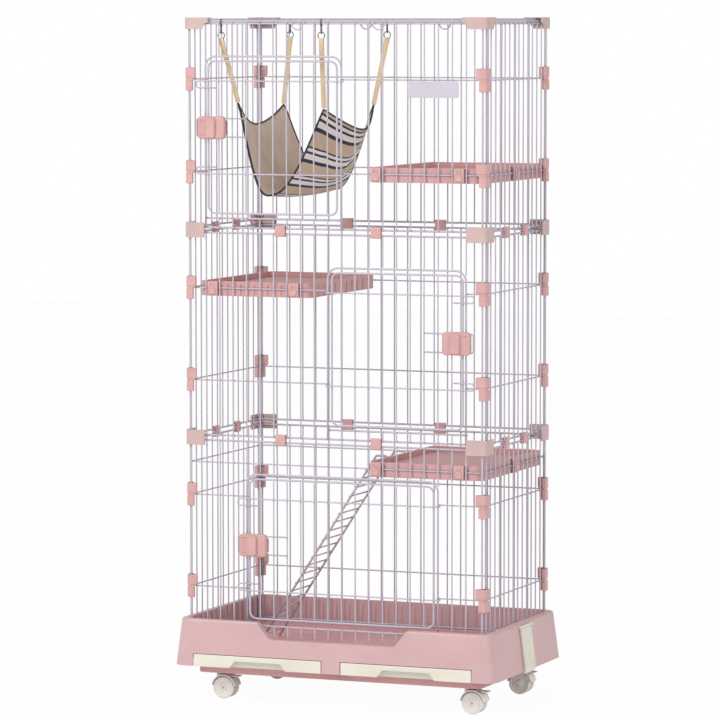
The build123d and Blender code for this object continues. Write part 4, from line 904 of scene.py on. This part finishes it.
# each side falls from its edge to the low fold as a power curve, with a sine bulge; the stations
# are joined by a smooth curve along the hammock
def clothPoints(s):
    t = np.linspace(0, 1, s["along"])
    knots = np.linspace(0, 1, len(clothStations))
    smooth = np.stack([np.polyval(np.polyfit(knots, clothStations[:, c], 3), t)
                       for c in range(clothStations.shape[1])], axis=1)
    share = np.linspace(-1, 1, s["across"])
    reach = np.abs(share)
    left = (share < 0)[None, :]
    edgeX = np.where(left, smooth[:, 1:2], smooth[:, 5:6])
    edgeZ = np.where(left, smooth[:, 2:3], smooth[:, 6:7])
    bulge = s["bulge"] * np.sin(reach * math.pi) * np.where(share < 0, 1, -1)
    x = smooth[:, 3:4] + (edgeX - smooth[:, 3:4]) * reach ** s["spread"] + bulge
    z = smooth[:, 4:5] + (edgeZ - smooth[:, 4:5]) * reach ** s["fall"]
    y = np.repeat(smooth[:, 0:1], s["across"], axis=1)
    return np.stack([x, y, z + s["lift"]], axis=-1)


def makeHammock(s):
    grid = clothPoints(s)
    rows, columns = grid.shape[:2]
    i, j = np.meshgrid(np.arange(rows - 1), np.arange(columns - 1), indexing="ij")
    corner = i * columns + j
    quads = np.stack([corner, corner + 1, corner + columns + 1, corner + columns], axis=-1)
    piece = makeMesh("hammock_sheet", grid.reshape(-1, 3), quads.reshape(-1, 4).tolist())
    arc = np.linalg.norm(np.diff(grid, axis=1), axis=2)
    width = float(arc.sum(axis=1).mean())
    length = float(np.linalg.norm(np.diff(grid, axis=0), axis=2).sum(axis=0).mean())
    uv = piece.data.uv_layers.new(name="cloth")
    across = np.linspace(0, width, columns)
    down = np.linspace(0, length, rows)
    flat = np.stack(np.meshgrid(across, down, indexing="xy"), axis=-1).reshape(-1, 2)
    loops = np.zeros(len(piece.data.loops), int)
    piece.data.loops.foreach_get("vertex_index", loops)
    uv.data.foreach_set("uv", flat[loops].ravel())
    hold = piece.vertex_groups.new(name="hold")
    for row in (0, rows - 1):
        for column in (*range(s["held"]), *range(columns - s["held"], columns)):
            hold.add([row * columns + column], 1.0, "REPLACE")
    fold = columns // 2
    for row in range(rows):
        for column in (fold - 1, fold):
            hold.add([row * columns + column], s["foldHold"], "REPLACE")
    sim = piece.modifiers.new("hang", "CLOTH")
    for name, value in clothFeel.items():
        setattr(sim.settings, name, value)
    sim.settings.vertex_group_mass = "hold"
    sim.collision_settings.use_collision = False
    sim.point_cache.frame_start = 1
    sim.point_cache.frame_end = s["frames"]
    scene = bpy.context.scene
    for number in range(1, s["frames"] + 1):
        scene.frame_set(number)
    settled = piece.evaluated_get(bpy.context.evaluated_depsgraph_get()).to_mesh()
    hung = np.zeros(len(settled.vertices) * 3)
    settled.vertices.foreach_get("co", hung)
    piece.modifiers.remove(sim)
    piece.data.vertices.foreach_set("co", hung)
    piece.data.update()
    scene.frame_set(1)
    grid = hung.reshape(rows, columns, 3)
    shell = piece.modifiers.new("clothThickness", "SOLIDIFY")
    shell.thickness = s["thick"]
    shell.offset = -1
    shell.material_offset = 1
    shell.material_offset_rim = 1
    piece.data.materials.append(finishes["plush"])
    piece.data.materials.append(finishes["hammock_fabric"])
    finer = piece.modifiers.new("clothSmooth", "SUBSURF")
    finer.levels = 1
    finer.render_levels = 1
    settle(piece, "hammock_cloth", "hammock_fabric")
    edge = np.vstack([grid[0], grid[1:, -1], grid[-1, -2::-1], grid[-2:0:-1, 0]])
    drop = np.array([0, 0, -s["thick"] / 2])
    points, faces = tubeAlong(edge + drop, s["binding"], closed=True, sides=bindingUv["sides"], flat=0.8)
    binding = makeMesh("hammock_binding", points, faces)
    layer = binding.data.uv_layers.new(name="cloth")
    ringCount = len(edge)
    uvPoints = np.stack(np.meshgrid(np.linspace(0, bindingUv["round"], bindingUv["sides"]),
                                    np.linspace(0, bindingUv["along"], ringCount),
                                    indexing="xy"), axis=-1).reshape(-1, 2)
    loops = np.zeros(len(binding.data.loops), int)
    binding.data.loops.foreach_get("vertex_index", loops)
    layer.data.foreach_set("uv", uvPoints[loops].ravel())
    binding.data.materials.append(finishes["binding"])
    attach(binding, "root")
    print("hammock cut", round(width, 3), round(length, 3))
    return grid


hung = makeHammock(cloth)

# Hammock hardware: clasp hooks on the rails, rings, and webbing that loops round each ring
hardware = {"hookWire": 1.4 * mm, "ringWire": 1.1 * mm, "ring": 8.0 * mm, "strap": 11.5 * mm,
            "strapThick": 1.5 * mm, "overlap": 46 * mm, "seam": 14 * mm, "ovalFoot": 13.5 * mm,
            "eyeRise": 4.0 * mm, "eye": 3.2 * mm, "eyeWire": 0.9 * mm, "barrelSides": 16}
barrelOutline = ((0.6, 1.0), (2.0, 0), (2.6, -2.5), (2.0, -5.0), (2.6, -6.2), (1.6, -8.0),
                 (0.5, -8.4))  # radius and height from the oval's foot, in mm


# an ellipse in the plane of two directions
def ringPath(centre, across, up, radiusA, radiusB, count=28):
    turn = np.linspace(0, 2 * np.pi, count, endpoint=False)[:, None]
    return centre + np.cos(turn) * radiusA * across + np.sin(turn) * radiusB * up


# an oval gate hook round both rails, a swivel barrel under it and a small eye
def hookShapes(low, high):
    middle = (low + high) / 2
    up = np.array([0, 0, 1.0])
    forward = np.array([0, 1.0, 0])
    ovalBottom = low[2] + hardware["ovalFoot"]
    oval = np.array([middle[0], middle[1], (ovalBottom + high[2]) / 2])
    height = (high[2] - ovalBottom) / 2 - hardware["hookWire"]
    depth = (high[1] - low[1]) / 2 - hardware["hookWire"]
    shapes = [tubeAlong(ringPath(oval, forward, up, depth, height), hardware["hookWire"],
                        closed=True, sides=10)]
    barrel = [(radius, ovalBottom + rise * mm) for radius, rise in barrelOutline]
    sides = hardware["barrelSides"]
    turn = np.linspace(0, 2 * np.pi, sides, endpoint=False)
    points = np.zeros((len(barrel), sides, 3))
    for k, (radius, z) in enumerate(barrel):
        points[k, :, 0] = middle[0] + radius * mm * np.cos(turn)
        points[k, :, 1] = middle[1] - radius * mm * np.sin(turn)
        points[k, :, 2] = z
    faces = gridFaces(len(barrel), sides)
    shapes.append((points.reshape(-1, 3), faces + endCaps(len(barrel), sides)))
    eye = np.array([middle[0], middle[1], low[2] + hardware["eyeRise"]])
    eyePath = ringPath(eye, forward, up, hardware["eye"], hardware["eye"], 20)
    shapes.append(tubeAlong(eyePath, hardware["eyeWire"], closed=True, sides=8))
    return shapes


hookParts = []
for points in solidIslands("hammock_hooks"):
    hookParts += hookShapes(points.min(axis=0), points.max(axis=0))
settle(makeMesh("hammock_hook_set", *gather(hookParts)), "hammock_hooks", "gunmetal")

ringParts = []
ringPlaces = []
for points in solidIslands("hammock_rings"):
    middle = (points.min(axis=0) + points.max(axis=0)) / 2
    ringPlaces.append(middle)
    ringParts.append(tubeAlong(ringPath(middle, np.array([1.0, 0, 0]), np.array([0, 0, 1.0]),
                                        hardware["ring"], hardware["ring"]),
                               hardware["ringWire"], closed=True, sides=10))
settle(makeMesh("hammock_ring_set", *gather(ringParts)), "hammock_rings", "gunmetal")


# a flat tape: up its own face, over the ring's lower bar, and down to the cloth's corner
def strapBand(ringMiddle, corner):
    bar = ringMiddle - np.array([0, 0, hardware["ring"]])
    fall = corner - bar
    reach = np.linalg.norm(fall)
    fall = fall / reach
    side = np.array([1.0, 0, 0])
    side -= (side @ fall) * fall
    side /= np.linalg.norm(side)
    out = np.cross(fall, side)
    gap = hardware["ringWire"] + hardware["strapThick"] * 0.6
    turn = np.linspace(0, math.pi, 9)
    over = bar + gap * (np.cos(turn)[:, None] * out - np.sin(turn)[:, None] * fall)
    tail = bar + fall * hardware["overlap"] + out * hardware["strapThick"] * 0.9
    joined = bar + fall * hardware["seam"]
    down = [bar + fall * s - out * hardware["strapThick"] * 0.35
            for s in np.linspace(hardware["seam"], reach, 12)]
    line = np.vstack([tail, joined + out * hardware["strapThick"] * 0.9, over, down])
    ahead = np.gradient(line, axis=0)
    ahead /= np.linalg.norm(ahead, axis=1)[:, None]
    normal = np.cross(ahead, side)
    normal /= np.linalg.norm(normal, axis=1)[:, None]
    halfWidth, halfThick = hardware["strap"] / 2, hardware["strapThick"] / 2
    outline = [(-1, -0.6), (-0.93, -1), (0.93, -1), (1, -0.6), (1, 0.6), (0.93, 1), (-0.93, 1), (-1, 0.6)]
    rings = np.stack([line + side * halfWidth * a + normal * halfThick * b for a, b in outline], axis=1)
    faces = gridFaces(len(line), len(outline))
    faces += endCaps(len(line), len(outline))
    walked = np.concatenate([[0], np.cumsum(np.linalg.norm(np.diff(line, axis=0), axis=1))])
    uv = np.stack(np.meshgrid(np.linspace(0, 0.02, 8), walked, indexing="xy"), axis=-1).reshape(-1, 2)
    return rings.reshape(-1, 3), faces, uv


clothCorners = [hung[0, 0], hung[0, -1], hung[-1, 0], hung[-1, -1]]
bands = []
for corner in clothCorners:
    nearest = min(ringPlaces, key=lambda p: abs(p[0] - corner[0]) + abs(p[1] - corner[1]))
    bands.append(strapBand(nearest, corner + np.array([0, 0, 1.0 * mm])))
straps = makeMesh("hammock_strap_set", *gather([(b[0], b[1]) for b in bands]))
strapUv = np.vstack([b[2] for b in bands])
strapLayer = straps.data.uv_layers.new(name="cloth")
strapLoops = np.zeros(len(straps.data.loops), int)
straps.data.loops.foreach_get("vertex_index", strapLoops)
strapLayer.data.foreach_set("uv", strapUv[strapLoops].ravel())
straps.data.set_sharp_from_angle(angle=math.radians(50))
settle(straps, "hammock_straps", "webbing")
print("hammock ready")

# Floor and light
studio = {"floorSize": 24, "worldLight": 0.62, "key": (-2.6, -4.2, 4.2), "keyPower": 185, "keySize": 2.6,
          "fill": (4.6, -2.6, 2.6), "fillPower": 85, "fillSize": 3.0, "floorGlow": 0.965}


def makeStudio(s):
    half = s["floorSize"] / 2
    corners = [(-half, -half, 0), (half, -half, 0), (half, half, 0), (-half, half, 0)]
    floor = makeMesh("studioFloor", corners, [[0, 1, 2, 3]], smooth=False)
    made, tree = newMaterial("palePaperSweep")
    path = addNode(tree, "ShaderNodeLightPath")
    seen = addNode(tree, "ShaderNodeMath", {"operation": "MAXIMUM"},
                   links={0: path.outputs["Is Camera Ray"], 1: path.outputs["Is Glossy Ray"]})
    share = addNode(tree, "ShaderNodeMath", {"operation": "MULTIPLY"}, links={0: seen.outputs[0]})
    share.inputs[1].default_value = s["floorGlow"]
    paper = addNode(tree, "ShaderNodeBsdfDiffuse", values={"Color": toLinear("#F2F2F2")})
    glow = addNode(tree, "ShaderNodeEmission", values={"Color": toLinear("#FFFFFF")})
    both = addNode(tree, "ShaderNodeMixShader", links={0: share.outputs[0], 1: paper.outputs[0],
                   2: glow.outputs[0]})
    closeMaterial(tree, both)
    floor.data.materials.append(made)
    floor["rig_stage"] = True
    world = bpy.data.worlds.new("studioWorld")
    world.use_nodes = True
    tree = world.node_tree
    tree.nodes.clear()
    path = addNode(tree, "ShaderNodeLightPath")
    seen = addNode(tree, "ShaderNodeMath", {"operation": "MAXIMUM"},
                   links={0: path.outputs["Is Camera Ray"], 1: path.outputs["Is Transmission Ray"]})
    level = addNode(tree, "ShaderNodeMapRange", values={"To Min": s["worldLight"], "To Max": 1.0},
                    links={"Value": seen.outputs[0]})
    back = addNode(tree, "ShaderNodeBackground", values={"Color": toLinear("#FFFFFF")},
                   links={"Strength": level.outputs["Result"]})
    addNode(tree, "ShaderNodeOutputWorld", links={"Surface": back.outputs[0]})
    bpy.context.scene.world = world
    for name, place, power, size in (("keyLight", s["key"], s["keyPower"], s["keySize"]),
                                     ("fillLight", s["fill"], s["fillPower"], s["fillSize"])):
        data = bpy.data.lights.new(name, "AREA")
        data.energy = power
        data.size = size
        lamp = bpy.data.objects.new(name, data)
        lamp.location = place
        aim = np.array([0, 0, 0.8]) - np.array(place)
        across = math.hypot(aim[0], aim[1])
        lamp.rotation_euler = (math.atan2(across, -aim[2]), 0, math.atan2(-aim[0], aim[1]))
        bpy.context.scene.collection.objects.link(lamp)


makeStudio(studio)
bpy.context.scene.view_settings.view_transform = "Standard"
print("studio ready")

low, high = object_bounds()
